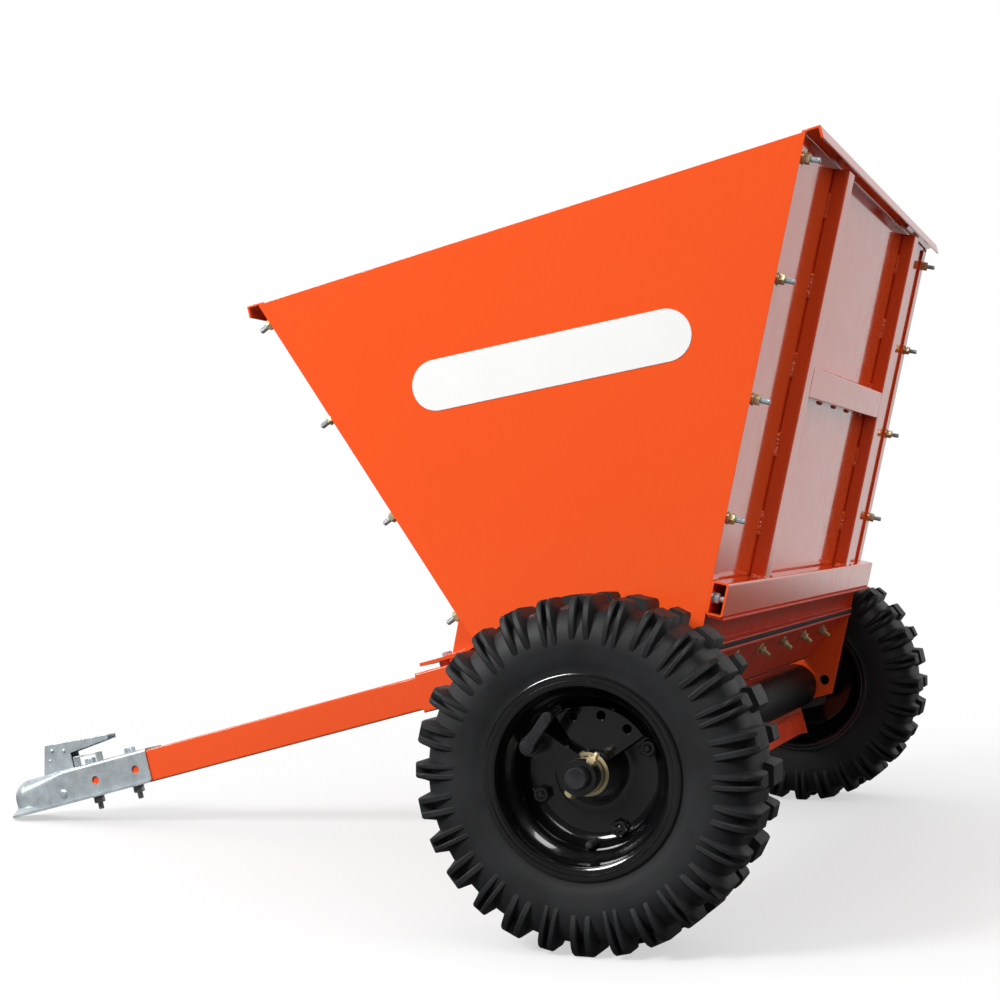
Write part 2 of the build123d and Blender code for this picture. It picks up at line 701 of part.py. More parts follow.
# Channel and dome, outside then inside: half width, top and corner radius at the drawbar, radius at the ball
shells = (
    (coupler_half, coupler_top, COUPLER_CORNER_R, socket_r, Mode.ADD),
    (channel_half, coupler_top - COUPLER_SHEET, COUPLER_CLEAR, BALL_R, Mode.SUBTRACT),
)
with BuildPart() as coupler:
    with BuildSketch(level(coupler_foot_z)):
        with Locations((coupler_x + COUPLER_L / 2, 0)):
            Rectangle(COUPLER_L, 2 * (coupler_half + COUPLER_FLANGE_W))
        with Locations((ball_x, 0)):
            Circle(NOSE_R)
    extrude(amount=NOSE_EDGE)
    with BuildSketch(side(0)):
        with BuildLine():
            Polyline(
                (ball_x, flare_z),
                (ball_x + NOSE_R, flare_z),
                (ball_x + socket_r, flare_z + NOSE_FLARE),
                (ball_x, flare_z + NOSE_FLARE),
                close=True,
            )
        make_face()
    revolve(axis=ball_axis)
    for half, top, corner_r, ball_r, mode in shells:
        dome_r = ball_r - CROWN_FLAT
        # Spans of the channel: from and to, each with its half width and corner radius
        spans = (
            ((coupler_x, half, corner_r), (blend_x, half, corner_r)),
            ((blend_x, half, corner_r), (ball_x, ball_r, dome_r)),
        )
        for span in spans:
            for x, half_w, radius in span:
                with BuildSketch(cross(x)):
                    with Locations((0, (top + coupler_foot_z) / 2)):
                        Rectangle(2 * half_w, top - coupler_foot_z)
                    fillet(vertices().group_by(Axis.Y)[-1], radius)
            loft(ruled=True, mode=mode)
        with BuildSketch(cross(ball_x)):
            with BuildLine():
                crown = RadiusArc((-ball_r, top - dome_r), (-CROWN_FLAT, top), dome_r)
                Polyline(crown @ 1, (0, top), (0, coupler_foot_z), (-ball_r, coupler_foot_z), crown @ 0)
            make_face()
        revolve(axis=ball_axis, revolution_arc=180, mode=mode)
    with BuildSketch(side(0)):
        for i in range(2):
            with Locations((coupler_x + COUPLER_HOLE_IN + i * COUPLER_HOLE_PITCH, DRAWBAR_Z)):
                Circle(COUPLER_HOLE_R)
        with Locations((ball_x - JAW_PIN_BACK, coupler_foot_z + JAW_PIN_UP)):
            Circle(JAW_PIN_R + SEAT_GAP)
    extrude(amount=coupler_half, both=True, mode=Mode.SUBTRACT)
keep(coupler, "coupler")

# Jaw that closes behind the ball, hung on a pin through the coupler's walls
jaw_front_x = ball_x - BALL_R
with BuildPart() as ball_jaw:
    with BuildSketch(side(0)):
        with Locations((jaw_front_x - JAW_L / 2, coupler_foot_z + JAW_LIFT + JAW_H / 2)):
            Rectangle(JAW_L, JAW_H)
    extrude(amount=JAW_HALF_W, both=True)
    with BuildSketch(level(coupler_foot_z)):
        with Locations((ball_x, 0)):
            Circle(BALL_R + JAW_GAP)
    extrude(amount=JAW_LIFT + JAW_H, mode=Mode.SUBTRACT)
    with BuildSketch(side(0)):
        with Locations((ball_x - JAW_PIN_BACK, coupler_foot_z + JAW_PIN_UP)):
            Circle(JAW_PIN_R)
    extrude(amount=coupler_half, both=True)
keep(ball_jaw, "ball_jaw")

# Latch lever: a folded channel that stands on the coupler's top, and the arched trigger behind it
latch_x = ball_x - LATCH_BACK
latch_top = coupler_top + LATCH_H
tip = Vector(latch_x - LATCH_L, latch_top - LATCH_TIP_DROP)
cheek_rear = Vector(latch_x - LATCH_CHEEK_L, latch_top - LATCH_GRIP_H)
with BuildPart() as latch:
    with BuildSketch(side(0)):
        with BuildLine():
            Polyline(
                (latch_x, coupler_top),
                (latch_x - LATCH_RAKE, latch_top),
                tip,
                tip - Vector(0, LATCH_TIP_H),
                cheek_rear,
                (cheek_rear.X, coupler_top),
                close=True,
            )
        make_face()
    extrude(amount=LATCH_HALF_W, both=True)
    with BuildSketch(side(0)):
        with BuildLine():
            Polyline(
                (latch_x - LATCH_SHEET, coupler_top),
                (latch_x - LATCH_RAKE - LATCH_SHEET, latch_top - LATCH_SHEET),
                tip - Vector(0, LATCH_SHEET),
                tip - Vector(0, LATCH_TIP_H),
                cheek_rear,
                (cheek_rear.X, coupler_top),
                close=True,
            )
        make_face()
    extrude(amount=LATCH_HALF_W - LATCH_SHEET, both=True, mode=Mode.SUBTRACT)
keep(latch, "latch")

with BuildPart() as latch_trigger:
    with BuildSketch(side(0)):
        with BuildLine():
            Polyline(
                (cheek_rear.X, coupler_top),
                (cheek_rear.X, coupler_top + TRIGGER_H),
                (cheek_rear.X - TRIGGER_L, coupler_top + TRIGGER_H - LATCH_SHEET),
                (cheek_rear.X - TRIGGER_L, coupler_top),
            )
            offset(amount=LATCH_SHEET, side=Side.LEFT, kind=Kind.INTERSECTION)
        make_face()
    extrude(amount=TRIGGER_HALF_W, both=True)
keep(latch_trigger, "latch_trigger")
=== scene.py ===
"""Looks of a towed sand spreader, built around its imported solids.

The machine's own frame has its origin at the axle's centre, with x forward along the drawbar, y to the left
and z up, square to the drawbar. Places in it are in millimetres; at() turns them into the part's frame.
"""

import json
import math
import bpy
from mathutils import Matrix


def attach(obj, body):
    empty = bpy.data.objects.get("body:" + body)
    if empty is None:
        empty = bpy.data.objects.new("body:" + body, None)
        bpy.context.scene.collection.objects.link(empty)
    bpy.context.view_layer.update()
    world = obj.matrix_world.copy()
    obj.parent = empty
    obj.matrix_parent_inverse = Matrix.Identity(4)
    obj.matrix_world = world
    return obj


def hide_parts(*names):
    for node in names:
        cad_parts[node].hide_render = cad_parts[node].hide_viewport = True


bl_info = {
    "name": "Sand spreader looks",
    "version": (1, 0, 0),
    "blender": (4, 5, 0),
    "location": "View3D > Sidebar > Spreader",
    "description": "Dresses the sand spreader's solids with tyres, rims, fasteners, welds and finishes",
    "category": "Object",
}

import bmesh
import bpy
from bpy.props import FloatProperty, FloatVectorProperty, IntProperty, PointerProperty
from mathutils import Matrix, Vector

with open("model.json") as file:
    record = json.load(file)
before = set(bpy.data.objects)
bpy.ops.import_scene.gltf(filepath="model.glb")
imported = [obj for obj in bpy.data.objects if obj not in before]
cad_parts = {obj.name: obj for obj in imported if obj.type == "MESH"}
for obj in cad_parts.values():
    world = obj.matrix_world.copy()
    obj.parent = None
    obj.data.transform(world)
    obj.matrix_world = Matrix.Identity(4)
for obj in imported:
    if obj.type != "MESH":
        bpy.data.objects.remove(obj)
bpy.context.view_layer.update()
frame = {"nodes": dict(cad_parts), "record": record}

record = frame["record"]
axle = Vector(record["behaviour"]["joints"][0]["pos_m"])
mouth = Vector(record["mounts"][0]["axis"])
tilt = math.atan2(-mouth.x, -mouth.z)
stand = Matrix.Translation(axle) @ Matrix.Rotation(tilt, 4, "Y")
MM = Matrix.Scale(0.001, 4)
SIDES = (("left", 1), ("right", -1))

# Places and sizes in the machine frame, in millimetres
HOPPER_HALF_W = 530.0
SHEET = 3.0
WHEEL_Y = 626.0
DISC_FACE = 10.0
COLLAR_Y = 690.0
COUPLER_TOP = 170.3
COUPLER_FOOT = 117.0
FOOT_PLATE_TOP = 185.0

# Fasteners in millimetres: nut's width and height, thread's radius, reach, washer's radius and thickness
WHEEL_NUT = (17, 8, 5, 12.5, 9.5, 1.6)
CROSS_BOLT_NUT = (11, 7, 3.2, 14)
CROSS_BOLT_HEAD = (11, 8, 3.2, 0)
COUPLER_BOLT_HEAD = (15, 6.5, 4.6, 0, 9.5, 1.6)
COUPLER_BOLT_NUT = (15, 9, 4.6, 21, 9.5, 1.6)
STRUT_BOLT_HEAD = (13, 5.5, 4, 0, 9, 1.2)
# Segments around them
WASHER_SEGMENTS = 28
NUT_SEGMENTS = 24
THREAD_SEGMENTS = 16

# Reading of a solid's mesh: joining distance in metres, share of the longest edge that a tube's edges reach,
# angles under which a tube's or a sheet's faces are one flat, and angle over which an edge is eased
JOIN_DISTANCE = 0.00002
LONG_SHARE = 0.6
TUBE_FLAT = 0.01
SHEET_FLAT = math.radians(0.6)
EASED_ANGLE = math.radians(32)


class Wall:
    """A sloping wall of the hopper, with the ways down it and out of it in the machine frame."""

    def __init__(self, top, foot, hand):
        self.top = Vector(top)
        self.down = (Vector(foot) - self.top).normalized()
        self.out = Vector((hand * self.down.z, 0, -hand * self.down.x))

    def spot(self, down, out, y):
        """The point at a way down the wall, out of it and across."""
        return self.top + self.down * down + self.out * out + Vector((0, y, 0))


rear = Wall((-402, 0, 635), (-55, 0, -28), 1)
front = Wall((307, 0, 654), (70, 0, -28), -1)


def at(x, y, z):
    """A point of the machine frame in millimetres, as a point of the part's frame in metres."""
    return stand @ (Vector((x, y, z)) * 0.001)


def aim(origin, direction):
    """The placement whose z axis points along a direction, both given in the machine frame."""
    turn = Vector(direction).to_track_quat("Z", "Y").to_matrix().to_4x4()
    return stand @ MM @ Matrix.Translation(Vector(origin)) @ turn


def sizes():
    """The sizes that a user can change."""
    return bpy.context.scene.spreader_sizes


def colours():
    """The colours that a user can change."""
    return bpy.context.scene.spreader_colours


def length(name, description, default):
    """A length in metres that a user can change."""
    return FloatProperty(name=name, description=description, default=default, unit="LENGTH")


def colour(name, description, default):
    """A colour that a user can change."""
    return FloatVectorProperty(
        name=name, description=description, default=default, subtype="COLOR", size=3, min=0, max=1
    )


class SpreaderSizes(bpy.types.PropertyGroup):
    """Sizes of the pieces that this script adds, in metres."""

    tube_edge: length("Tube edge", "Corner radius of the square tubes", 0.003)
    sheet_edge: length("Sheet edge", "Rounding of sheet edges and folds", 0.0009)
    casting_edge: length("Casting edge", "Rounding of the drive's edges", 0.0011)
    nut_width: length("Nut width", "Panel nut across its flats", 0.0118)
    nut_height: length("Nut height", "Height of a panel nut", 0.0072)
    bolt_radius: length("Bolt radius", "Outer radius of a panel bolt's thread", 0.0036)
    bolt_reach: length("Bolt reach", "How far a panel bolt stands out of the wall", 0.0205)
    stud_reach: length("Stud reach", "How far a gate stud stands out of the gate", 0.018)
    stud_pitch: length("Stud pitch", "Distance between gate studs", 0.155)
    stud_count: IntProperty(name="Gate studs", description="Number of studs across the gate", default=6)
    weld_pitch: length("Weld ripple", "Distance between the ripples of a weld", 0.0026)
    weld_radius: length("Weld size", "Half width of a weld bead", 0.0032)
    tyre_radius: length("Tyre radius", "Radius over the lugs", 0.198)
    lug_pairs: IntProperty(name="Lug pairs", description="Wide lugs along each edge of a tyre", default=14)
    lug_wide: length("Wide lug", "Width of a wide lug along the tread", 0.024)
    lug_narrow: length("Narrow lug", "Width of a narrow lug along the tread", 0.017)
    label_length: length("Plate length", "Length of the blank oval plate", 0.352)
    label_width: length("Plate width", "Width of the blank oval plate", 0.062)


class SpreaderColours(bpy.types.PropertyGroup):
    """Base colours of the finishes."""

    orange: colour("Orange", "Powder coat on the hopper and frame", (0.90, 0.095, 0.016))
    # The outlet's colour is the orange darkened as painted shade, for the shadow under the hopper
    scoured: colour("Scoured paint", "Powder coat around the outlet, dulled by sand", (0.68, 0.052, 0.016))
    tyre: colour("Tyre", "Tyre rubber", (0.0076, 0.0081, 0.0090))
    black: colour("Black", "Gloss paint on the wheels and drive", (0.0035, 0.0035, 0.004))
    drum: colour("Drum", "Satin coating on the drum", (0.004, 0.004, 0.0045))
    rubber: colour("Rubber", "Wiper and valves", (0.009, 0.009, 0.009))
    casting: colour("Casting", "Bearing housings", (0.03, 0.031, 0.034))
    lever: colour("Lever", "Plunger caps and levers", (0.018, 0.018, 0.020))
    zinc: colour("Zinc", "Plating on the coupler and the bolts", (0.66, 0.74, 0.78))
    yellow_zinc: colour("Yellow zinc", "Plating on the studs and cross bolts", (0.85, 0.70, 0.40))
    label: colour("Plate", "Blank oval plate", (0.86, 0.86, 0.85))
    floor: colour("Floor", "Studio floor", (0.80, 0.80, 0.80))


class Shade:
    """One socket of a node tree, so that shader maths reads as plain expressions."""

    def __init__(self, tree, socket):
        self.tree = tree
        self.socket = socket

    def node(self, kind, settings, values, out=0):
        """Add a node: its settings first, then the values or links of its sockets, and give one output."""
        made = self.tree.nodes.new(kind)
        for key, value in settings.items():
            if key == "stops":
                self.set_stops(made.color_ramp, value)
            else:
                setattr(made, key, value)
        for key, value in values.items():
            if isinstance(value, Shade):
                self.tree.links.new(value.socket, made.inputs[key])
            else:
                made.inputs[key].default_value = value
        return Shade(self.tree, made.outputs[out])

    @staticmethod
    def set_stops(ramp, stops):
        """Give a ramp its grey stops, each a place and a level."""
        while len(ramp.elements) < len(stops):
            ramp.elements.new(0.5)
        for element, (place, level) in zip(ramp.elements, stops):
            element.position = place
            element.color = (level, level, level, 1)

    def math(self, operation, first, second):
        """One step of arithmetic on two values or sockets."""
        return self.node("ShaderNodeMath", {"operation": operation}, {0: first, 1: second})

    def __add__(self, other):
        return self.math("ADD", self, other)

    __radd__ = __add__

    def __sub__(self, other):
        return self.math("SUBTRACT", self, other)

    def __rsub__(self, other):
        return self.math("SUBTRACT", other, self)

    def __mul__(self, other):
        return self.math("MULTIPLY", self, other)

    __rmul__ = __mul__

    def noise(self, scale, detail, roughness=0.55):
        """Noise from 0 to 1 over these coordinates, with one scale or one along each axis."""
        coords = self
        if isinstance(scale, tuple):
            coords = self.node("ShaderNodeMapping", {}, {"Vector": self, "Scale": scale})
            scale = 1.0
        values = {"Vector": coords, "Scale": scale, "Detail": detail, "Roughness": roughness}
        return self.node("ShaderNodeTexNoise", {}, values)

    def ramp(self, start, end):
        """This value spread from 0 at a start to 1 at an end."""
        return self.node("ShaderNodeValToRGB", {"stops": ((start, 0.0), (end, 1.0))}, {"Fac": self})

    def tint(self, first, second):
        """A colour between two colours, by this value; sockets 6 and 7 are the mix node's colours."""
        values = {0: self, 6: (*first, 1), 7: (*second, 1)}
        return self.node("ShaderNodeMix", {"data_type": "RGBA"}, values, out=2)

    def bump(self, distance, strength):
        """A bumped normal from this height."""
        values = {"Height": self, "Distance": distance, "Strength": strength}
        return self.node("ShaderNodeBump", {}, values)

    def along(self, direction):
        """How far these coordinates reach along a direction."""
        return self.node("ShaderNodeVectorMath", {"operation": "DOT_PRODUCT"}, {0: self, 1: direction}, out=1)

    def faded(self, start, end, first, last):
        """This value passed smoothly from a first level at its start to a last level at its end."""
        values = {"Value": self, "From Min": start, "From Max": end, "To Min": first, "To Max": last}
        return self.node("ShaderNodeMapRange", {"interpolation_type": "SMOOTHSTEP"}, values)


class Finish:
    """A material with one principled shader and the object's own coordinates."""

    made = {}

    def __init__(self, name):
        self.material = bpy.data.materials.new(name)
        self.material.use_nodes = True
        self.tree = self.material.node_tree
        self.shader = self.tree.nodes["Principled BSDF"]
        coordinates = self.tree.nodes.new("ShaderNodeTexCoord")
        self.coords = Shade(self.tree, coordinates.outputs["Object"])

    def set(self, **values):
        """Feed the shader's sockets, named in lower case with underscores."""
        for key, value in values.items():
            socket = self.shader.inputs[key.replace("_", " ").title().replace("Ior", "IOR")]
            if isinstance(value, Shade):
                self.tree.links.new(value.socket, socket)
            else:
                socket.default_value = value
        return self.material


def darker(base, share):
    """A colour times a share, over 1 for a paler one."""
    return tuple(channel * share for channel in base)


def mottled(name, base, patches, shades, rough, grain, bump, coat=(), drift=(), **constants):
    """A finish whose patches vary its roughness, its coat if it has one, and its colour unless a drift does.

    Patches are a scale, detail, roughness and perhaps the ends of a ramp. Shades are shares of the colour off
    and on the patches. Rough and coat are a level and what the patches add. Grain is a scale and detail.
    """
    finish = Finish(name)
    spread = finish.coords.noise(*patches[:3])
    height = finish.coords.noise(*grain) if grain else spread
    if patches[3:]:
        spread = spread.ramp(*patches[3:])
    tone = finish.coords.noise(*drift) if drift else spread
    finish.set(**constants)
    if coat:
        finish.set(coat_weight=coat[0] + coat[1] * spread)
    return finish.set(
        base_color=tone.tint(darker(base, shades[0]), darker(base, shades[1])),
        roughness=rough[0] + rough[1] * spread,
        normal=height.bump(*bump),
    )


# Finishes: patches, shades, rough, grain, bump, others
# Gloss powder coat: a faint orange peel, slow colour drift and a little dust in the gloss
GLOSS_PAINT = (
    (38, 5, 0.65, 0.35, 0.75), (0.95, 1), (0.07, 0.06), (420, 2), (0.0001, 0.05),
    {"coat": (0.5, -0.2), "drift": (3, 4), "specular_ior_level": 0.45, "coat_roughness": 0.03},
)
# Powder coat whose gloss is rubbed off by sand, with fine streaks down the slope; the outlet colour it
# carries is darkened as painted shade
SCOURED_PAINT = (
    (30, 6, 0.65, 0.3, 0.75), (0.85, 1), (0.36, 0.2), ((40, 420, 40), 4), (0.0001, 0.2),
    {"specular_ior_level": 0.25},
)
# Moulded rubber: fine grain and a bloom in soft patches
TYRE_RUBBER = (
    (16, 5, 0.6, 0.38, 0.72), (1, 1.7), (0.5, 0.16), (900, 2), (0.00025, 0.4), {"specular_ior_level": 0.3},
)
# Gloss black paint with a faint peel and specks of dust
GLOSS_BLACK = (
    (60, 5, 0.7, 0.48, 0.8), (1, 2), (0.14, 0.12), (360, 2), (0.00012, 0.2),
    {"coat": (0.7, -0.3), "coat_roughness": 0.06},
)
# Satin coating with light rubbing marks along the machine's width
SATIN = (
    ((60, 4, 60), 5, 0.6, 0.4, 0.75), (1, 1.9), (0.42, 0.16), (300, 3), (0.0002, 0.35),
    {"specular_ior_level": 0.14},
)
# Plain sheet rubber with a chalky surface
SHEET_RUBBER = ((45, 6, 0.65), (1, 1.8), (0.62, 0.2), (700, 2), (0.0002, 0.4), {})
# Painted casting, whose sandy skin is its grain too
CASTING = ((260, 5, 0.7), (0.7, 1.3), (0.42, 0.2), (), (0.0006, 0.6), {})
# Zinc plate: cloudy bright and dull patches with short rolling scratches
PLATING = (
    (46, 6, 0.62, 0.34, 0.66), (0.6, 1), (0.38, -0.16), ((30, 900, 900), 3), (0.00012, 0.35),
    {"metallic": 0.5},
)
# White gloss film, whose faint ripple is its grain too
WHITE_FILM = ((22, 3), (0.97, 1), (0.28, 0.08), (), (0.0004, 0.2), {"coat_weight": 0.2})

# Materials: colour, finish
MATERIALS = {
    "orange_paint": ("orange", GLOSS_PAINT),
    # The outlet's paint is darker as painted shade
    "scoured_paint": ("scoured", SCOURED_PAINT),
    "tyre": ("tyre", TYRE_RUBBER),
    "wheel_black": ("black", GLOSS_BLACK),
    "drum_black": ("drum", SATIN),
    "dark_lever": ("lever", SATIN),
    "rubber": ("rubber", SHEET_RUBBER),
    "cast_housing": ("casting", CASTING),
    "zinc_plate": ("zinc", PLATING),
    "yellow_zinc": ("yellow_zinc", PLATING),
    "white_plate": ("label", WHITE_FILM),
}


def finish_of(name):
    """The material of a finish, made once."""
    if name not in Finish.made:
        base, (*look, others) = MATERIALS[name]
        Finish.made[name] = mottled(name, tuple(getattr(colours(), base)), *look, **others)
    return Finish.made[name]


def placed(name, data):
    """A new object in the scene."""
    item = bpy.data.objects.new(name, data)
    bpy.context.scene.collection.objects.link(item)
    return item


def show(name, mesh, body, finish, replaces=()):
    """Put a finished mesh in the scene: its material, the body it rides on and the nodes it stands for."""
    piece = placed(name, mesh)
    mesh.materials.clear()
    mesh.materials.append(finish_of(finish))
    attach(piece, body)
    if replaces:
        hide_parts(*replaces)


def settled(carrier):
    """The plain mesh of an object with its modifiers applied; the object goes."""
    graph = bpy.context.evaluated_depsgraph_get()
    mesh = bpy.data.meshes.new_from_object(carrier.evaluated_get(graph))
    bpy.data.objects.remove(carrier)
    return mesh


def smooth(mesh, angle):
    """Smooth shading, kept sharp where faces meet at more than an angle in degrees."""
    mesh.shade_smooth()
    mesh.set_sharp_from_angle(angle=math.radians(angle))
    return mesh


def mesh_from(bm, name):
    """A mesh from a bmesh, with its normals turned outwards."""
    bmesh.ops.recalc_face_normals(bm, faces=bm.faces)
    mesh = bpy.data.meshes.new(name)
    bm.to_mesh(mesh)
    bm.free()
    return mesh


def add_rings(bm, rings, closed=False):
    """Join rings of points into a skin, which joins its last ring to its first or is capped at both ends."""
    made = [[bm.verts.new(point) for point in ring] for ring in rings]
    pairs = list(zip(made, made[1:]))
    if closed:
        pairs.append((made[-1], made[0]))
    for first, second in pairs:
        for i in range(len(first)):
            j = (i + 1) % len(first)
            bm.faces.new((first[i], first[j], second[j], second[i]))
    if not closed:
        bm.faces.new(made[0])
        bm.faces.new(made[-1])


def nut_rows(start, width, height):
    """Rows of a hexagon nut with chamfered faces: height, radius, and half the width across the flats."""
    half = width / 2
    corner = half / math.cos(math.pi / 6)
    face = half * 0.95
    edge = height * 0.14
    return [
        (start, face),
        (start + edge, corner, half),
        (start + height - edge, corner, half),
        (start + height, face),
    ]


def thread_rows(start, end, radius):
    """Rows of a threaded end with a chamfered tip."""
    rows = []
    pitch = radius * 0.36
    root = radius * 0.86
    turns = max(2, int((end - start - radius * 0.3) / pitch))
    for i in range(turns):
        height = start + i * pitch
        rows.append((height, root))
        rows.append((height + pitch / 2, radius))
    chamfer = radius * 0.25
    neck = radius * 0.9
    tip = radius * 0.62
    rows.append((end - chamfer, neck))
    rows.append((end, tip))
    return rows


def washer_rows(start, radius, thickness):
    """Rows of a washer with eased edges."""
    edge = thickness * 0.25
    return [
        (start, radius - edge),
        (start + edge, radius),
        (start + thickness - edge, radius),
        (start + thickness, radius - edge),
    ]


def fastener(width, height, thread, reach, washer=0.0, washer_t=0.0):
    """A washer, a hexagon nut and a threaded end that stand along the z axis: their rows and segments."""
    parts = []
    if washer:
        parts.append((washer_rows(0, washer, washer_t), WASHER_SEGMENTS))
    parts.append((nut_rows(washer_t, width, height), NUT_SEGMENTS))
    if reach > washer_t + height:
        start = washer_t + height - thread * 0.2
        parts.append((thread_rows(start, reach, thread), THREAD_SEGMENTS))
    return parts


def add_turned(bm, place, parts):
    """Add turned shapes, each given by its rows and segments, along the z axis of a placement."""
    for rows, segments in parts:
        rings = []
        for height, radius, *flat in rows:
            ring = []
            for i in range(segments):
                angle = 2 * math.pi * i / segments
                reach = radius
                if flat:
                    slice_angle = (angle + math.pi / 6) % (math.pi / 3) - math.pi / 6
                    reach = min(radius, flat[0] / math.cos(slice_angle))
                ring.append(place @ Vector((reach * math.cos(angle), reach * math.sin(angle), height)))
            rings.append(ring)
        add_rings(bm, rings)


def revolved(bm, profile, segments, place):
    """Revolve a closed profile of (across, radius) points about the y axis of a placement."""
    rings = []
    for i in range(segments):
        angle = 2 * math.pi * i / segments
        ring = []
        for across, radius in profile:
            ring.append(place @ Vector((radius * math.cos(angle), across, radius * math.sin(angle))))
        rings.append(ring)
    add_rings(bm, rings, closed=True)


def flowing(points, steps):
    """Points on a smooth line through the given points."""
    knots = [points[0], *points, points[-1]]
    line = []
    for four in zip(knots, knots[1:], knots[2:], knots[3:]):
        for step in range(steps):
            t = step / steps
            mixed = []
            for a, b, c, d in zip(*four):
                bend = 2 * a - 5 * b + 4 * c - d
                twist = -a + 3 * b - 3 * c + d
                mixed.append(0.5 * (2 * b + (c - a) * t + bend * t * t + twist * t**3))
            line.append(tuple(mixed))
    return line + [points[-1]]


def wheel_place(hand):
    """The machine frame at a wheel's middle, with y pointing out of the machine."""
    mirror = Matrix.Diagonal((1, hand, 1, 1))
    return stand @ MM @ Matrix.Translation(Vector((0, hand * WHEEL_Y, 0))) @ mirror


def sharp(edge):
    """Whether two faces meet at an edge that would be eased on the real piece."""
    return edge.is_manifold and edge.calc_face_angle(0) > EASED_ANGLE


def ease(bm, edges, width, segments):
    """Round a set of edges."""
    bmesh.ops.bevel(
        bm, geom=edges, offset=width, segments=segments, profile=0.5, affect="EDGES", clamp_overlap=True
    )


def round_tube(bm, corner):
    """Round a tube's long edges, the outer ones by its corner radius and the inner ones by a third of it."""
    reach = LONG_SHARE * max(e.calc_length() for e in bm.edges)
    flat = [e for e in bm.edges if e.calc_length() > reach and e.calc_face_angle(0) < TUBE_FLAT]
    bmesh.ops.dissolve_edges(bm, edges=flat, use_verts=False)
    long_edges = [e for e in bm.edges if e.calc_length() > reach and sharp(e)]
    outer = [e for e in long_edges if e.calc_face_angle_signed(0) > 0]
    inner = [e for e in long_edges if e.calc_face_angle_signed(0) < 0]
    ease(bm, outer, corner, 3)
    ease(bm, [e for e in inner if e.is_valid], corner / 3, 2)


def rounded_copy(node, corner, edge):
    """A copy of a CAD node's mesh with eased edges; a tube also has a corner radius along its long edges."""
    bm = bmesh.new()
    bm.from_mesh(frame["nodes"][node].data)
    bmesh.ops.remove_doubles(bm, verts=bm.verts, dist=JOIN_DISTANCE)
    if corner:
        round_tube(bm, corner)
    else:
        bmesh.ops.dissolve_limit(bm, angle_limit=SHEET_FLAT, verts=bm.verts, edges=bm.edges)
    ease(bm, [e for e in bm.edges if sharp(e)], edge / 2 if corner else edge, 2)
    mesh = bpy.data.meshes.new(node)
    bm.to_mesh(mesh)
    bm.free()
    return weighted(mesh)


def weighted(mesh):
    """The mesh with normals weighted by face area, so that flats stay flat beside rounded edges."""
    carrier = placed("carrier", smooth(mesh, 50))
    modifier = carrier.modifiers.new("weighted", "WEIGHTED_NORMAL")
    modifier.keep_sharp = True
    return settled(carrier)


class SPREADER_OT_steelwork(bpy.types.Operator):
    """Round the edges of the hopper's sheets and tubes"""

    bl_idname = "spreader.steelwork"
    bl_label = "Steelwork"

    def execute(self, context):
        size = sizes()
        tubes = ["front_beam", "rear_beam", "rear_crossbar", "drawbar", "drawbar_sleeve", "hitch_strut"]
        tubes += [f"{end}_stiffener_{name}" for end in ("front", "rear") for name, _ in SIDES]
        sheets = ["rear_panel", "front_panel"] + [f"side_panel_{name}" for name, _ in SIDES]
        outlet = ["rear_chute", "front_chute", "gate_plate", "cross_angle"]
        # Groups: nodes, corner radius, finish
        groups = (
            (tubes, size.tube_edge, "orange_paint"),
            (sheets, 0, "orange_paint"),
            # The outlet's sheets take the paint darkened as painted shade
            (outlet, 0, "scoured_paint"),
        )
        for nodes, corner, finish in groups:
            for node in nodes:
                mesh = rounded_copy(node, corner, size.sheet_edge)
                show(f"{node}_rounded", mesh, "hopper", finish, (node,))
        wiper = rounded_copy("wiper", 0, size.sheet_edge)
        show("wiper_rounded", wiper, "hopper", "rubber", ("wiper",))
        return {"FINISHED"}


class SPREADER_OT_drive(bpy.types.Operator):
    """Ease the edges of the bearings, hubs, drive arms and plungers"""

    bl_idname = "spreader.drive"
    bl_label = "Drive"

    def execute(self, context):
        # Groups: node, body, finish
        groups = (
            ("bearing", "hopper", "cast_housing"),
            ("hub", "wheel", "wheel_black"),
            ("drive_arm", "drum", "wheel_black"),
            ("plunger", "drum", "dark_lever"),
        )
        for kind, carrier, finish in groups:
            for name, _ in SIDES:
                node = f"{kind}_{name}"
                body = f"wheel_{name}" if carrier == "wheel" else carrier
                mesh = rounded_copy(node, 0, sizes().casting_edge)
                show(f"{node}_eased", mesh, body, finish, (node,))
        return {"FINISHED"}


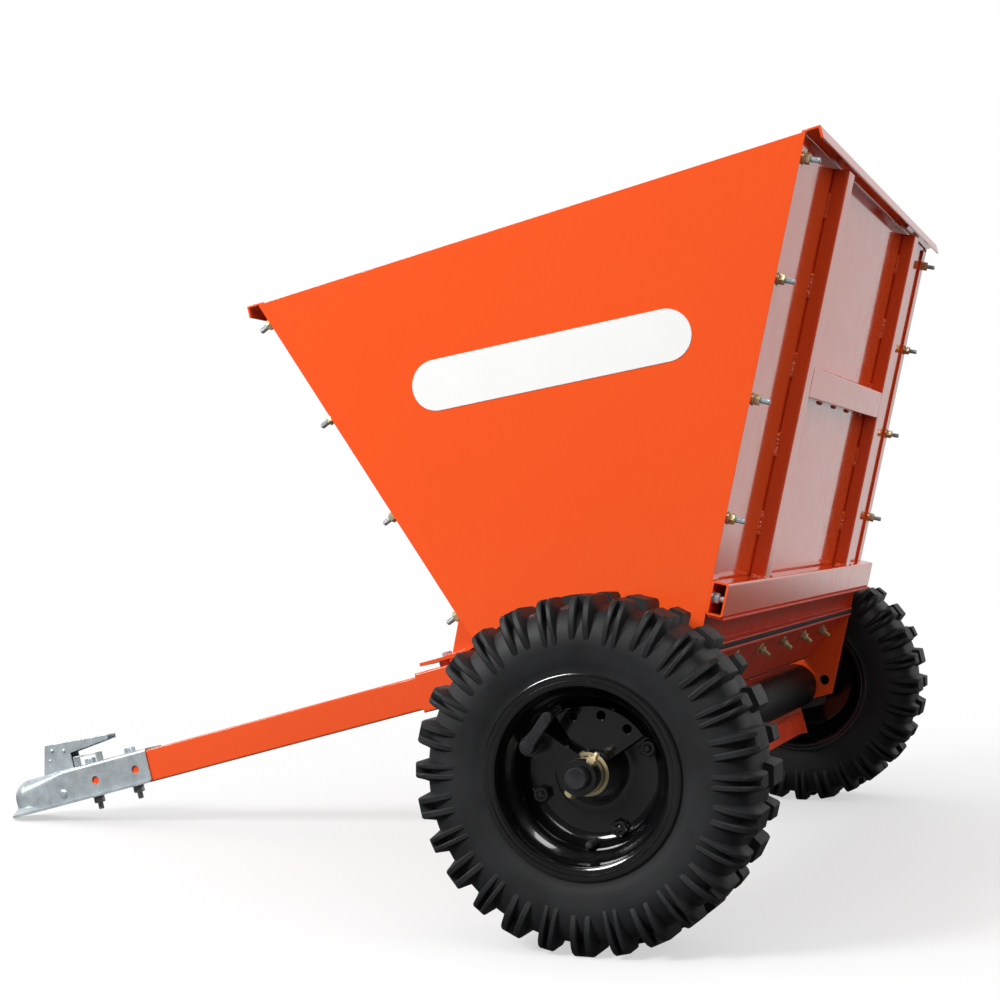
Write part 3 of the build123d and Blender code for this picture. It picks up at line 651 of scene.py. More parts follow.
class SPREADER_OT_tyres(bpy.types.Operator):
    """Build the lugged tyres"""

    bl_idname = "spreader.tyres"
    bl_label = "Tyres"

    # Carcass from its middle to its bead: across, radius
    outside = ((0, 187.2), (24, 187), (46, 185.2), (58, 180.5), (66, 171), (70.5, 160), (72, 148))
    bead = ((71.2, 136), (70, 127), (68.4, 119.5), (67.6, 114), (67.4, 108), (66.5, 101.4))
    inside = ((54, 101.4), (60, 140), (57, 160), (44, 171), (0, 172))
    # Lug from its inner end to its foot on the sidewall: across, drop below the tread, depth into the carcass
    shoulder = ((50, 0, 15), (58.5, 0.8, 16), (65, 4.2, 16), (70.2, 10.8, 14), (73.4, 20, 12))
    shoulder += ((74.8, 28, 9.5),)
    # Its end: across, height above its foot, depth
    run_out = ((74.5, 15.5, 7), (73.8, 10, 5.5), (72.9, 4.8, 4.5), (71.4, 0, 3))
    full_depth = 15
    # How much a block widens to its root, on an open side and in the slot of a lug
    draft = 4
    slot_draft = 0.6
    # Rounding of a block's edges: at most, as a share of its width, and how far it stands out below it
    most_rounding = 1.5
    rounding_share = 0.18
    flare = 0.1
    # Segments around the carcass, and steps between the points of its outside and its inside
    segments = 168
    outside_steps = 4
    inside_steps = 3

    def lug_path(self, top, root, foot):
        """A lug's path from its inner end over the shoulder to its foot."""
        path = [(root, 0, self.full_depth)] + list(self.shoulder)
        path += [(x, top - foot - above, depth) for x, above, depth in self.run_out]
        return path

    def add_block(self, bm, place, angle, top, path, left, right, left_draft, right_draft):
        """One block of rubber swept along a lug's path between two edges on the tread, wider at its root."""
        out = Vector((math.cos(angle), 0, math.sin(angle)))
        along = Vector((-math.sin(angle), 0, math.cos(angle)))
        across = Vector((0, 1, 0))
        corner = min(self.most_rounding, (right - left) * self.rounding_share)
        rings = []
        for i, (x, drop, depth) in enumerate(path):
            ahead = path[min(i + 1, len(path) - 1)]
            behind = path[max(i - 1, 0)]
            run = Vector((ahead[0] - behind[0], behind[1] - ahead[1]))
            inward = Vector((run.y, -run.x)).normalized()
            skin = Vector((x, top - drop))
            root = skin + inward * depth
            under = skin + inward * corner
            spread = depth / self.full_depth
            section = (
                (root, left - left_draft * spread),
                (under, left - self.flare),
                (skin, left + corner),
                (skin, right - corner),
                (under, right + self.flare),
                (root, right + right_draft * spread),
            )
            rings.append([place @ (across * p.x + out * p.y + along * v) for p, v in section])
        add_rings(bm, rings)

    def execute(self, context):
        size = sizes()
        top = math.sqrt((size.tyre_radius * 1000) ** 2 - (size.lug_wide * 500) ** 2)
        pitch = 2 * math.pi / size.lug_pairs
        half = flowing(self.outside + self.bead, self.outside_steps)
        room = flowing(self.inside, self.inside_steps)
        profile = half + room[:-1]
        profile += [(-x, r) for x, r in reversed(room)] + [(-x, r) for x, r in reversed(half[1:])]
        # Lug rows: edge, place in the pitch, width, slot, inner end, foot radius
        wide = size.lug_wide * 1000
        narrow = size.lug_narrow * 1000
        rows = (
            (1, 0.0, wide, 8.5, 4, 148),
            (1, 0.5, narrow, 5.5, 24, 143.5),
            (-1, 0.5, wide, 8.5, 4, 148),
            (-1, 0.0, narrow, 5.5, 24, 143.5),
        )
        for name, hand in SIDES:
            place = wheel_place(hand)
            bm = bmesh.new()
            revolved(bm, profile, self.segments, place)
            for edge, part, width, slot, root, foot in rows:
                edge_place = place @ Matrix.Diagonal((1, edge, 1, 1))
                path = self.lug_path(top, root, foot)
                for i in range(size.lug_pairs):
                    angle = tilt - math.pi / 2 + (i + part) * pitch
                    spot = (bm, edge_place, angle, top)
                    self.add_block(*spot, path[:3], -width / 2, width / 2, self.draft, self.draft)
                    self.add_block(*spot, path[1:], -width / 2, -slot / 2, self.draft, self.slot_draft)
                    self.add_block(*spot, path[1:], slot / 2, width / 2, self.slot_draft, self.draft)
            mesh = smooth(mesh_from(bm, f"tyre_{name}"), 42)
            show(f"tyre_{name}_lugged", mesh, f"wheel_{name}", "tyre", (f"tyre_{name}",))
        return {"FINISHED"}


class SPREADER_OT_rims(bpy.types.Operator):
    """Build the pressed rims with their rolled edges and discs"""

    bl_idname = "spreader.rims"
    bl_label = "Rims"

    # Half of the rim's section: across, radius
    outer = (
        (0, 86), (33, 86), (36, 88), (44.5, 99), (47.5, 101), (65.5, 101), (67.4, 102.2), (68, 104.4),
        (68, 110.8), (68.3, 112.6), (69.4, 113.4), (70.4, 112.9), (71, 111.3), (71, 107.4), (70.4, 105.6),
        (70.8, 104.2), (70.6, 101.6), (69.4, 99.4), (67.2, 98.2), (65, 98), (53, 98), (50, 97.4),
        (47.4, 95.9), (45, 93.6), (42.2, 90.2), (39.4, 87.1), (36.4, 84.9), (33, 83.6), (29, 83), (0, 83),
    )
    # Back and front of the disc, and the round corner where its front meets the rim
    rim_root = 84.4
    disc_back = ((10, 25.2), (6, 25.2), (6, 78), (4.5, 82), (1.5, rim_root))
    disc_front = ((10, 50), (10.6, 47), (11.4, 44), (11.4, 38), (10.6, 34), (10, 31))
    corner_radius = 15.0
    corner_steps = 8
    rim_bore = 83.0
    rim_segments = 144
    disc_segments = 96

    def disc(self):
        """The disc's section, closed where it sinks into the rim."""
        middle = DISC_FACE + self.corner_radius
        section = list(self.disc_back) + [(middle, self.rim_root)]
        for step in range(self.corner_steps + 1):
            turn = math.pi / 2 * (1 - step / self.corner_steps)
            reach = self.rim_bore - self.corner_radius * (1 - math.sin(turn))
            section.append((middle - self.corner_radius * math.cos(turn), reach))
        return section + list(self.disc_front)

    def execute(self, context):
        profile = list(self.outer) + [(-x, r) for x, r in reversed(self.outer)][1:-1]
        for name, hand in SIDES:
            place = wheel_place(hand)
            bm = bmesh.new()
            revolved(bm, profile, self.rim_segments, place)
            revolved(bm, self.disc(), self.disc_segments, place)
            mesh = smooth(mesh_from(bm, f"rim_{name}"), 30)
            show(f"rim_{name}_pressed", mesh, f"wheel_{name}", "wheel_black", (f"rim_{name}",))
        return {"FINISHED"}


class SPREADER_OT_wheel_fittings(bpy.types.Operator):
    """Add wheel nuts, valves, the drive arms' cross bolts and the rings on the hubs' ends"""

    bl_idname = "spreader.wheel_fittings"
    bl_label = "Wheel fittings"

    # Places about the axle: angles in degrees, radii in millimetres
    nut_angles = (-9, 81, 171, 261)
    nut_circle = 68
    valve_angle = -75
    valve_circle = 78.4
    bolt_angle = 140
    bolt_half_length = 18.5
    # Valve from the disc to its tip: height, radius; the cap's ridges lie at a pitch between
    valve_stem = ((0, 4.5), (1, 4.5), (5, 4.1), (18, 3.6), (19, 3.9), (20, 4.3))
    valve_ridge = ((21, 4.4), (21.7, 4.15))
    ridge_pitch = 1.4
    ridges = 6
    valve_tip = ((30, 4.2), (31.4, 3.4), (32, 1.8))
    valve_segments = 24
    # Ring on the hub's end, clear of the drive arm: its two faces across, its inner and outer radius;
    # and the chamfer of its rim, across and in
    seal_ring = (42.05, 42.42, 20.6, 24.4)
    ring_chamfer = (0.2, 0.3)
    ring_segments = 64

    def on_disc(self, place, angle, radius):
        """The placement that stands out of the disc at an angle and a radius."""
        turn = math.radians(angle)
        spot = Vector((radius * math.cos(turn), DISC_FACE, radius * math.sin(turn)))
        return place @ Matrix.Translation(spot) @ Matrix.Rotation(-math.pi / 2, 4, "X")

    def wheel_nuts(self, bm, place, hand):
        """The nuts that hold the disc on the hub."""
        for angle in self.nut_angles:
            add_turned(bm, self.on_disc(place, angle, self.nut_circle), fastener(*WHEEL_NUT))

    def valve(self, bm, place, hand):
        """A valve with a ridged cap."""
        rows = list(self.valve_stem)
        for i in range(self.ridges):
            rows += [(height + i * self.ridge_pitch, radius) for height, radius in self.valve_ridge]
        rows += self.valve_tip
        foot = self.on_disc(place, self.valve_angle, self.valve_circle)
        add_turned(bm, foot, [(rows, self.valve_segments)])

    def cross_bolt(self, bm, place, hand):
        """The bolt through the drive arm's collar."""
        turn = math.radians(self.bolt_angle)
        way = Vector((math.cos(turn), 0, math.sin(turn)))
        middle = Vector((0, hand * COLLAR_Y, 0))
        add_turned(bm, aim(middle + way * self.bolt_half_length, way), fastener(*CROSS_BOLT_NUT))
        add_turned(bm, aim(middle - way * self.bolt_half_length, -way), fastener(*CROSS_BOLT_HEAD))

    def end_ring(self, bm, place, hand):
        """The flat ring on the hub's end, with a chamfered rim."""
        start, end, inner, outer = self.seal_ring
        across, inwards = self.ring_chamfer
        chamfer = ((end - across, outer), (end, outer - inwards))
        ring = ((start, inner), (start, outer), *chamfer, (end, inner))
        revolved(bm, ring, self.ring_segments, place)

    def execute(self, context):
        # Fittings: builder, piece on either side, its body, finish, slot, smoothing angle
        fittings = (
            (self.wheel_nuts, "wheel_nuts_{}", "wheel_{}", "wheel_black", "wheel_black", 30),
            (self.valve, "valve_{}_capped", "wheel_{}", "rubber", "rubber", 35),
            (self.cross_bolt, "cross_bolt_{}", "drum", "yellow_zinc", "zinc_plate", 30),
            (self.end_ring, "seal_ring_{}", "wheel_{}", "yellow_zinc", "zinc_plate", 30),
        )
        for name, hand in SIDES:
            for build, piece, body, finish, slot, angle in fittings:
                bm = bmesh.new()
                build(bm, wheel_place(hand), hand)
                mesh = smooth(mesh_from(bm, piece.format(name)), angle)
                stands_for = (f"valve_{name}",) if build == self.valve else ()
                show(piece.format(name), mesh, body.format(name), finish, stands_for)
        return {"FINISHED"}


def new_tree(name, inputs):
    """A new geometry tree's inputs by name: the geometry that comes in and those asked for."""
    tree = bpy.data.node_groups.new(name, "GeometryNodeTree")
    tree.interface.new_socket("Geometry", in_out="OUTPUT", socket_type="NodeSocketGeometry")
    for label, kind in (("Geometry", "Geometry"), *inputs, ("Seed", "Int"), ("Material", "Material")):
        tree.interface.new_socket(label, in_out="INPUT", socket_type=f"NodeSocket{kind}")
    source = tree.nodes.new("NodeGroupInput")
    return {socket.name: Shade(tree, socket) for socket in source.outputs}


def close_tree(instances, material):
    """End a tree in plain mesh that carries a material."""
    real = instances.node("GeometryNodeRealizeInstances", {}, {"Geometry": instances})
    painted = real.node("GeometryNodeSetMaterial", {}, {"Geometry": real, "Material": material})
    end = painted.tree.nodes.new("NodeGroupOutput")
    painted.tree.links.new(painted.socket, end.inputs["Geometry"])
    return painted.tree


def fastener_tree():
    """A tree that stands one fastener on each point, along the point's aim, with a random turn."""
    # Sockets 2 and 3 of a random value are its least and its most
    most_turn = 1.047
    given = new_tree("fastener_rows", (("Fastener", "Object"),))
    points = given["Geometry"]
    shape = points.node("GeometryNodeObjectInfo", {}, {"Object": given["Fastener"]}, out="Geometry")
    way = points.node("GeometryNodeInputNamedAttribute", {"data_type": "FLOAT_VECTOR"}, {"Name": "aim"})
    turns = {2: 0.0, 3: most_turn, "Seed": given["Seed"]}
    turn = points.node("FunctionNodeRandomValue", {"data_type": "FLOAT"}, turns, out=1)
    spin = points.node("ShaderNodeCombineXYZ", {}, {"Z": turn})
    lean = points.node("FunctionNodeAlignRotationToVector", {"axis": "Z"}, {"Vector": way})
    both = points.node(
        "FunctionNodeRotateRotation", {"rotation_space": "LOCAL"}, {"Rotation": lean, "Rotate By": spin}
    )
    values = {"Points": points, "Instance": shape, "Rotation": both}
    return close_tree(points.node("GeometryNodeInstanceOnPoints", {}, values), given["Material"])


def weld_tree():
    """A tree that lays overlapping ripples of weld along each line, of a random size."""
    least = 0.82
    most = 1.12
    given = new_tree("weld_runs", (("Ripple", "Float"), ("Radius", "Float")))
    lines = given["Geometry"]
    curve = lines.node("GeometryNodeMeshToCurve", {}, {"Mesh": lines})
    steps = {"Curve": curve, "Length": given["Ripple"]}
    points = curve.node("GeometryNodeCurveToPoints", {"mode": "LENGTH"}, steps, out="Points")
    turn = Shade(points.tree, points.socket.node.outputs["Rotation"])
    ball = {"Segments": 10, "Rings": 6, "Radius": given["Radius"]}
    drop = curve.node("GeometryNodeMeshUVSphere", {}, ball, out="Mesh")
    scales = {2: least, 3: most, "Seed": given["Seed"]}
    vary = curve.node("FunctionNodeRandomValue", {"data_type": "FLOAT"}, scales, out=1)
    values = {"Points": points, "Instance": drop, "Rotation": turn, "Scale": vary}
    return close_tree(curve.node("GeometryNodeInstanceOnPoints", {}, values), given["Material"])


def baked(tree, mesh, values, name):
    """The plain mesh that a tree makes from a carrier mesh, with the tree's inputs set."""
    carrier = placed("carrier", mesh)
    modifier = carrier.modifiers.new("tree", "NODES")
    modifier.node_group = tree
    for item in tree.interface.items_tree:
        if item.item_type == "SOCKET" and item.in_out == "INPUT" and item.name in values:
            modifier[item.identifier] = values[item.name]
    done = settled(carrier)
    done.name = name
    return done


def aimed_points(spots):
    """A mesh of loose points, each with the direction that its fastener stands along."""
    mesh = bpy.data.meshes.new("points")
    mesh.from_pydata([at(*spot) for spot, _ in spots], [], [])
    ways = mesh.attributes.new("aim", "FLOAT_VECTOR", "POINT")
    turn = stand.to_3x3()
    for item, (_, way) in zip(ways.data, spots):
        item.vector = turn @ Vector(way)
    return mesh


def stand_fasteners(name, spots, parts, finish, seed):
    """Stand a fastener on each spot with the fastener tree, as one piece."""
    bm = bmesh.new()
    add_turned(bm, Matrix.Identity(4), parts)
    shape = placed("fastener", smooth(mesh_from(bm, "fastener"), 30))
    values = {"Fastener": shape, "Seed": seed, "Material": finish_of(finish)}
    mesh = baked(fastener_tree(), aimed_points(spots), values, name)
    bpy.data.objects.remove(shape)
    show(name, mesh, "hopper", finish)


class SPREADER_OT_panel_bolts(bpy.types.Operator):
    """Bolt the sloping walls to the side panels"""

    bl_idname = "spreader.panel_bolts"
    bl_label = "Panel bolts"

    # Rows: wall, first bolt's way down it, pitch
    rows = ((rear, 28.5, 139.8), (front, 25.5, 146.4))
    count = 4
    row_y = 516
    # Bolts inside the open ends of the rear beam: down the slope, out of the wall, across
    beam_down = 541
    beam_out = 2
    beam_y = 520
    beam_bolt_reach = 0.0145
    # Washers in metres: share of the nut's width, or radius, and thickness
    washer_share = 0.64
    washer_t = 0.0016
    beam_washer = (0.0075, 0.0012)

    def execute(self, context):
        size = sizes()
        nut = (size.nut_width, size.nut_height, size.bolt_radius)
        washer = (size.nut_width * self.washer_share, self.washer_t)
        thread = thread_rows(size.nut_height, size.bolt_reach, size.bolt_radius)
        spots = []
        for wall, first, pitch in self.rows:
            for _, hand in SIDES:
                for i in range(self.count):
                    spots.append((wall.spot(first + i * pitch, 0, hand * self.row_y), wall.out))
        stand_fasteners("panel_nuts", spots, fastener(*nut, 0, *washer), "yellow_zinc", seed=4)
        stand_fasteners("panel_bolts", spots, [(thread, THREAD_SEGMENTS)], "zinc_plate", seed=4)

        spots = []
        for _, hand in SIDES:
            spots.append((rear.spot(self.beam_down, self.beam_out, hand * self.beam_y), rear.out))
        bolt = fastener(*nut, self.beam_bolt_reach, *self.beam_washer)
        stand_fasteners("beam_bolts", spots, bolt, "zinc_plate", seed=7)
        return {"FINISHED"}


class SPREADER_OT_gate_studs(bpy.types.Operator):
    """Stand the clamping studs along the gate"""

    bl_idname = "spreader.gate_studs"
    bl_label = "Gate studs"

    # Bend of the chute that carries the gate, down the rear wall and in from it; the gate's slope and sheet
    bend_down = 610
    bend_in = 11
    slope = math.radians(36)
    gate_t = 4
    stud_down = 25
    # Nut in metres: across its flats, height, thread radius; washer: radius, thickness
    nut = (0.011, 0.0065, 0.0032)
    washer = (0.0085, 0.0016)

    def execute(self, context):
        size = sizes()
        bend = rear.spot(self.bend_down, -self.bend_in, 0)
        gate_way = Vector((math.cos(self.slope), 0, -math.sin(self.slope)))
        out = Vector((-math.sin(self.slope), 0, -math.cos(self.slope)))
        base = bend + gate_way * self.stud_down + out * self.gate_t
        middle = (size.stud_count - 1) / 2
        spots = []
        for i in range(size.stud_count):
            spots.append((base + Vector((0, (i - middle) * size.stud_pitch * 1000, 0)), out))
        stud = fastener(*self.nut, size.stud_reach, *self.washer)
        stand_fasteners("gate_studs", spots, stud, "yellow_zinc", seed=11)
        return {"FINISHED"}


class SPREADER_OT_welds(bpy.types.Operator):
    """Lay the weld runs at the feet of the stiffening tubes"""

    bl_idname = "spreader.welds"
    bl_label = "Welds"

    # Stitches beside the uprights: wall, pitch
    walls = ((rear, 100), (front, 97.5))
    stitches = 5
    first_stitch = 42
    stitch_length = 26
    upright_y = 300
    upright_sides = (-20, 20)
    upright_edges = (-320, -280, 280, 320)
    # How far the stitches lie in from the wall's line
    sunk = SHEET - 0.6
    # Stitches above and below the crossbar: way down the wall, length
    crossbar_sides = ((250, 28), (290, 8))
    crossbar_start = -230
    crossbar_pitch = 108
    # Runs at the uprights' feet, on the strut's foot plate and where the sleeve meets the front beam
    foot_down = 521.4
    foot_out = 1
    foot_length = 15
    strut_places = (352, 372)
    strut_half_w = 20
    strut_half_length = 8
    sleeve_place = (172, 30, 122)
    sleeve_forward = 9
    sleeve_up = 46

    def runs(self):
        """The two ends of each run of weld, in the machine frame."""
        runs = []
        for wall, pitch in self.walls:
            for y in self.upright_edges:
                for i in range(self.stitches):
                    start = wall.spot(self.first_stitch + i * pitch, -self.sunk, y)
                    runs.append((start, start + wall.down * self.stitch_length))
        for down, length in self.crossbar_sides:
            for i in range(self.stitches):
                start = rear.spot(down, -self.sunk, self.crossbar_start + i * self.crossbar_pitch)
                runs.append((start, start + Vector((0, length, 0))))
        half = Vector((self.strut_half_length, 0, 0))
        for _, hand in SIDES:
            for side in self.upright_sides:
                start = rear.spot(self.foot_down, self.foot_out, self.upright_y * hand + side)
                runs.append((start, start + rear.out * self.foot_length))
            for x in self.strut_places:
                middle = Vector((x, self.strut_half_w * hand, FOOT_PLATE_TOP))
                runs.append((middle - half, middle + half))
            x, y, z = self.sleeve_place
            sleeve = Vector((x, y * hand, z))
            forward = Vector((self.sleeve_forward, 0, 0))
            runs.append((sleeve + forward, sleeve - front.down * self.sleeve_up))
        return runs

    def execute(self, context):
        size = sizes()
        points = []
        edges = []
        for start, end in self.runs():
            edges.append((len(points), len(points) + 1))
            points += [at(*start), at(*end)]
        lines = bpy.data.meshes.new("weld_lines")
        lines.from_pydata(points, edges, [])
        values = {
            "Ripple": size.weld_pitch,
            "Radius": size.weld_radius,
            "Seed": 3,
            "Material": finish_of("orange_paint"),
        }
        mesh = smooth(baked(weld_tree(), lines, values, "welds"), 60)
        show("welds", mesh, "hopper", "orange_paint")
        return {"FINISHED"}


class SPREADER_OT_coupler_fittings(bpy.types.Operator):
    """Add the coupler's bolts, the latch's rivets and the strut's bolt"""

    bl_idname = "spreader.coupler_fittings"
    bl_label = "Coupler fittings"

    bolt_places = (949, 1023)
    strut_bolt_place = 386
    # Rivets on the latch's cheeks: x, z, radius; and their domes: height, share of the radius
    rivets = ((1079, 205, 3.4), (1058, 200, 3.4), (1087, 190, 3.0))
    dome = ((0, 1.0), (0.8, 0.94), (1.6, 0.7), (2.0, 0.35))
    rivet_segments = 18
    latch_half_w = 13
    # Pivot's head on the coupler's sides: x and z, half a width; and its dome: height, radius
    pivot = (1067, 134)
    coupler_half_w = 28.3
    pivot_dome = ((0, 7.2), (1.0, 7.0), (2.0, 5.6), (2.4, 3.0))
    pivot_segments = 22

    def execute(self, context):
        up = (0, 0, 1)
        under = (0, 0, -1)
        bm = bmesh.new()
        for x in self.bolt_places:
            add_turned(bm, aim((x, 0, COUPLER_TOP), up), fastener(*COUPLER_BOLT_HEAD))
            add_turned(bm, aim((x, 0, COUPLER_FOOT), under), fastener(*COUPLER_BOLT_NUT))
        place = aim((self.strut_bolt_place, 0, FOOT_PLATE_TOP), up)
        add_turned(bm, place, fastener(*STRUT_BOLT_HEAD))
        mesh = smooth(mesh_from(bm, "coupler_bolts"), 30)
        show("coupler_bolts", mesh, "hopper", "zinc_plate")

        bm = bmesh.new()
        for _, hand in SIDES:
            out = (0, hand, 0)
            for x, z, radius in self.rivets:
                rows = [(height, radius * share) for height, share in self.dome]
                place = aim((x, self.latch_half_w * hand, z), out)
                add_turned(bm, place, [(rows, self.rivet_segments)])
            x, z = self.pivot
            place = aim((x, self.coupler_half_w * hand, z), out)
            add_turned(bm, place, [(self.pivot_dome, self.pivot_segments)])
        mesh = smooth(mesh_from(bm, "latch_rivets"), 40)
        show("latch_rivets", mesh, "hopper", "zinc_plate")

        for node in ("latch", "latch_trigger", "ball_jaw"):
            mesh = rounded_copy(node, 0, sizes().sheet_edge)
            show(f"{node}_eased", mesh, "hopper", "zinc_plate", (node,))
        return {"FINISHED"}


class SPREADER_OT_oval_plate(bpy.types.Operator):
    """Lay the blank oval plate on the left side panel"""

    bl_idname = "spreader.oval_plate"
    bl_label = "Oval plate"

    # Place of its middle on the panel, its slope, its thickness and the share of it under the eased edge,
    # and the steps of each round end
    middle = (-39.0, 474.5)
    slope = math.atan2(33, 350)
    thickness = 0.7
    square_share = 0.6
    edge = 0.35
    steps = 24

    def execute(self, context):
        end_radius = sizes().label_width * 500
        end_x = sizes().label_length * 500 - end_radius
        x, z = self.middle
        place = stand @ MM @ Matrix.Translation(Vector((x, HOPPER_HALF_W, z)))
        place = place @ Matrix.Rotation(-self.slope, 4, "Y")
        rings = []
        square = self.thickness * self.square_share
        for inset, height in ((0, 0), (0, square), (self.edge, self.thickness)):
            radius = end_radius - inset
            ring = []
            for end, start in ((1, -0.5), (-1, 0.5)):
                for i in range(self.steps + 1):
                    turn = math.pi * (i / self.steps + start)
                    spot = (end * end_x + radius * math.cos(turn), height, radius * math.sin(turn))
                    ring.append(place @ Vector(spot))
            rings.append(ring)
        bm = bmesh.new()
        add_rings(bm, rings)
        mesh = smooth(mesh_from(bm, "oval_plate"), 30)
        show("oval_plate", mesh, "hopper", "white_plate")
        return {"FINISHED"}


class SPREADER_OT_finishes(bpy.types.Operator):
    """Give each carried-over solid its finish"""

    bl_idname = "spreader.finishes"
    bl_label = "Finishes"

    def execute(self, context):
        for part in record["subparts"]:
            node = frame["nodes"][part["node"]]
            node.data.materials.clear()
            node.data.materials.append(finish_of(part["material_slot"]))
        return {"FINISHED"}


class SPREADER_OT_stage(bpy.types.Operator):
    """Set the floor, the lights and the camera"""

    bl_idname = "spreader.stage"
    bl_label = "Stage"

    # Camera in the machine frame: place in millimetres, then its right, up and backward directions
    eye = (-684.9, 2737.8, 105.7)
    right = (-0.9078, -0.3340, -0.2536)
    up = (-0.2714, 0.0068, 0.9625)
    back = (-0.3197, 0.9426, -0.0968)
    sensor_width = 36.0
    focal_share = 1.9636
    # Lamps: name, place, aim point, power in watts, width, whether it lights dull surfaces too
    lamps = (
        ("key", (2.1, 4.1, 3.0), (-0.2, 0.3, 0.45), 255.0, 1.8, True),
        ("window", (-1.7, 3.0, 3.4), (-0.4, 0.5, 0.2), 75.0, 2.0, False),
        ("skylight", (3.0, 1.5, 2.2), (-0.3, 0.5, 0.2), 60.0, 1.5, False),
    )
    # Floor: half its width in metres, and the share of its colour that it shows to all but the camera
    floor_half_w = 40
    floor_share = 0.1
    # Fades of the surroundings, each along its own direction: start, end, level before, level after
    floor_fade = (0.6, 2.4, 0.55, 1.0)
    floor_mirrored = (2.1, 4.6, 0.05, 0.72)
    wall_mirrored = (-0.1, 0.7, 0.08, 0.72)
    overhead = (0.0, 0.8, 0.2, 1.05)
    from_rear = (0.55, 1.0, 0.0, 0.75)

    def set_floor(self):
        """A floor that fades to white and shows white to mirrored light on the far side."""
        bm = bmesh.new()
        bmesh.ops.create_grid(bm, x_segments=2, y_segments=2, size=self.floor_half_w)
        mesh = bpy.data.meshes.new("floor")
        bm.to_mesh(mesh)
        bm.free()
        floor = placed("floor", mesh)
        finish = Finish("studio_floor")
        tree = finish.tree
        coords = finish.coords
        path = tree.nodes.new("ShaderNodeLightPath")
        seen = Shade(tree, path.outputs["Is Camera Ray"])
        mirrored = Shade(tree, path.outputs["Is Glossy Ray"])
        pale = seen.tint(darker(colours().floor, self.floor_share), colours().floor)
        finish.set(base_color=pale, roughness=0.9, specular_ior_level=0.1)
        reach = coords.node("ShaderNodeVectorMath", {"operation": "LENGTH"}, {0: coords}, out=1)
        far = reach.faded(*self.floor_fade)
        backdrop = coords.along((0, -1, 0)).faded(*self.floor_mirrored)
        white = coords.node("ShaderNodeEmission", {}, {"Color": (1, 1, 1, 1), "Strength": 1.0})
        values = {0: far * seen + backdrop * mirrored, 1: Shade(tree, finish.shader.outputs[0]), 2: white}
        mixed = coords.node("ShaderNodeMixShader", {}, values)
        tree.links.new(mixed.socket, tree.nodes["Material Output"].inputs["Surface"])
        mesh.materials.append(finish.material)

    def set_world(self):
        """White behind the part, darker to mirrored light on the near side, and brighter overhead."""
        world = bpy.data.worlds.new("studio")
        bpy.context.scene.world = world
        world.use_nodes = True
        tree = world.node_tree
        tree.nodes.clear()
        path = tree.nodes.new("ShaderNodeLightPath")
        kinds = ("Is Camera Ray", "Is Transmission Ray", "Is Glossy Ray")
        camera, through, mirrored = [Shade(tree, path.outputs[kind]) for kind in kinds]
        seen = camera + through
        coords = Shade(tree, tree.nodes.new("ShaderNodeTexCoord").outputs["Object"])
        backdrop = coords.along((0.2, -0.98, 0)).faded(*self.wall_mirrored)
        above = coords.along((0, 0, 1)).faded(*self.overhead)
        behind = coords.along((-1, 0, 0)).faded(*self.from_rear)
        strength = seen + mirrored * backdrop + (1 - seen - mirrored) * (above + behind)
        light = seen.node("ShaderNodeBackground", {}, {"Color": (1, 1, 1, 1), "Strength": strength})
        end = tree.nodes.new("ShaderNodeOutputWorld")
        tree.links.new(light.socket, end.inputs["Surface"])

    def set_lamps(self):
        """Round area lamps; some light only the gloss."""
        for name, place, target, power, width, lights_dull in self.lamps:
            lamp = bpy.data.lights.new(name, "AREA")
            lamp.energy = power
            lamp.shape = "DISK"
            lamp.size = width
            holder = placed(name, lamp)
            holder.location = place
            holder.visible_diffuse = lights_dull
            holder.rotation_euler = (Vector(target) - Vector(place)).to_track_quat("-Z", "Y").to_euler()

    def set_camera(self):
        """The camera of the reference photograph."""
        lens = bpy.data.cameras.new("camera")
        lens.sensor_fit = "HORIZONTAL"
        lens.sensor_width = self.sensor_width
        lens.lens = self.sensor_width * self.focal_share
        lens.clip_end = 100
        camera = placed("camera", lens)
        turn = Matrix((self.right, self.up, self.back)).transposed()
        turn = (stand.to_3x3() @ turn).to_quaternion().to_matrix().to_4x4()
        camera.matrix_world = Matrix.Translation(at(*self.eye)) @ turn
        bpy.context.scene.camera = camera

    def execute(self, context):
        context.scene.view_settings.view_transform = "Standard"
        self.set_floor()
        self.set_world()
        self.set_lamps()
        self.set_camera()
        return {"FINISHED"}


OPERATORS = (
    SPREADER_OT_finishes,
    SPREADER_OT_steelwork,
    SPREADER_OT_drive,
    SPREADER_OT_tyres,
    SPREADER_OT_rims,
    SPREADER_OT_wheel_fittings,
    SPREADER_OT_panel_bolts,
    SPREADER_OT_gate_studs,
    SPREADER_OT_welds,
    SPREADER_OT_coupler_fittings,
    SPREADER_OT_oval_plate,
    SPREADER_OT_stage,
)


class SPREADER_PT_panel(bpy.types.Panel):
    """Lists the steps that dress the spreader"""

    bl_label = "Sand spreader"
    bl_idname = "SPREADER_PT_panel"
    bl_space_type = "VIEW_3D"
    bl_region_type = "UI"
    bl_category = "Spreader"

    def draw(self, context):
        for operator in OPERATORS:
            self.layout.operator(operator.bl_idname)
        for group in (context.scene.spreader_sizes, context.scene.spreader_colours):
            box = self.layout.box()
            for name in group.__annotations__:
                box.prop(group, name)


CLASSES = (SpreaderSizes, SpreaderColours, *OPERATORS, SPREADER_PT_panel)


def register():
    for item in CLASSES:
        bpy.utils.register_class(item)
    bpy.types.Scene.spreader_sizes = PointerProperty(type=SpreaderSizes)
    bpy.types.Scene.spreader_colours = PointerProperty(type=SpreaderColours)


def unregister():
    del bpy.types.Scene.spreader_colours
    del bpy.types.Scene.spreader_sizes
    for item in reversed(CLASSES):
        bpy.utils.unregister_class(item)


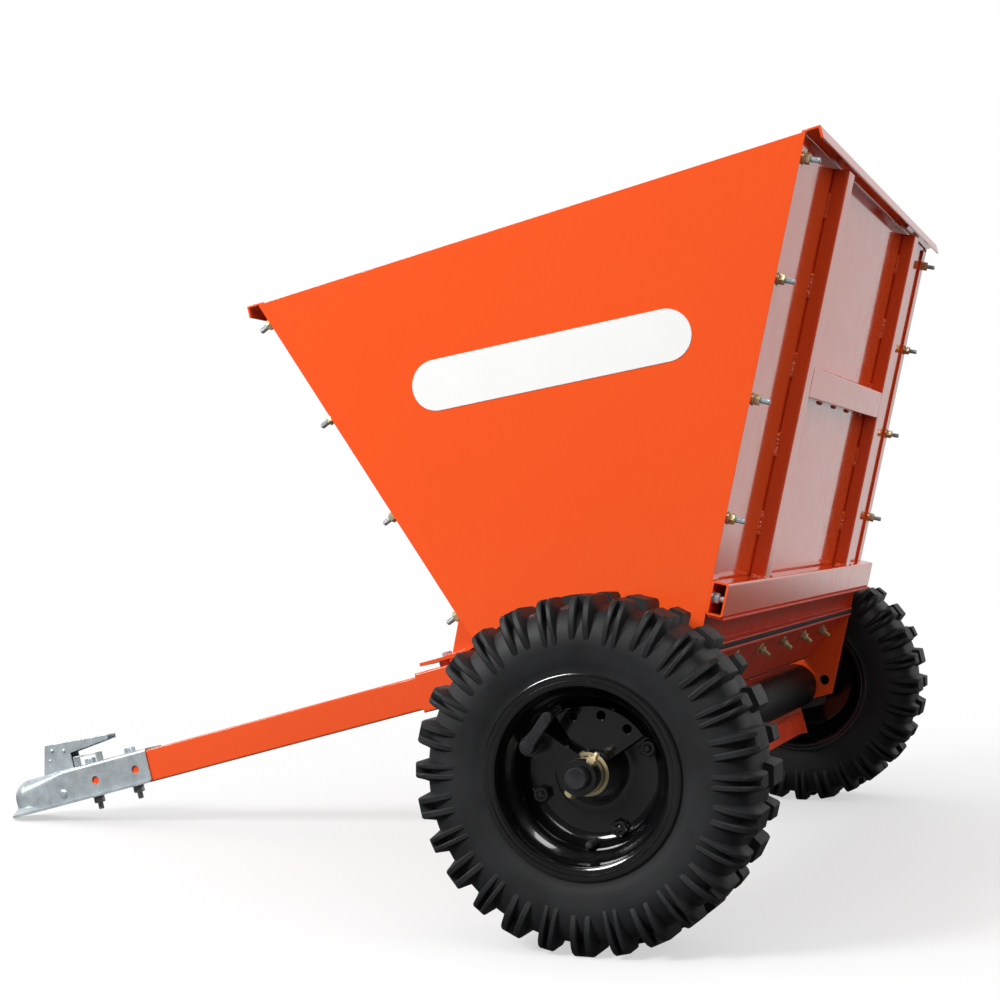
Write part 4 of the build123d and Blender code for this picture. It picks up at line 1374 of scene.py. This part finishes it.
def main():
    register()
    for operator in OPERATORS:
        group, name = operator.bl_idname.split(".")
        getattr(getattr(bpy.ops, group), name)()


if __name__ == "__main__":
    main()
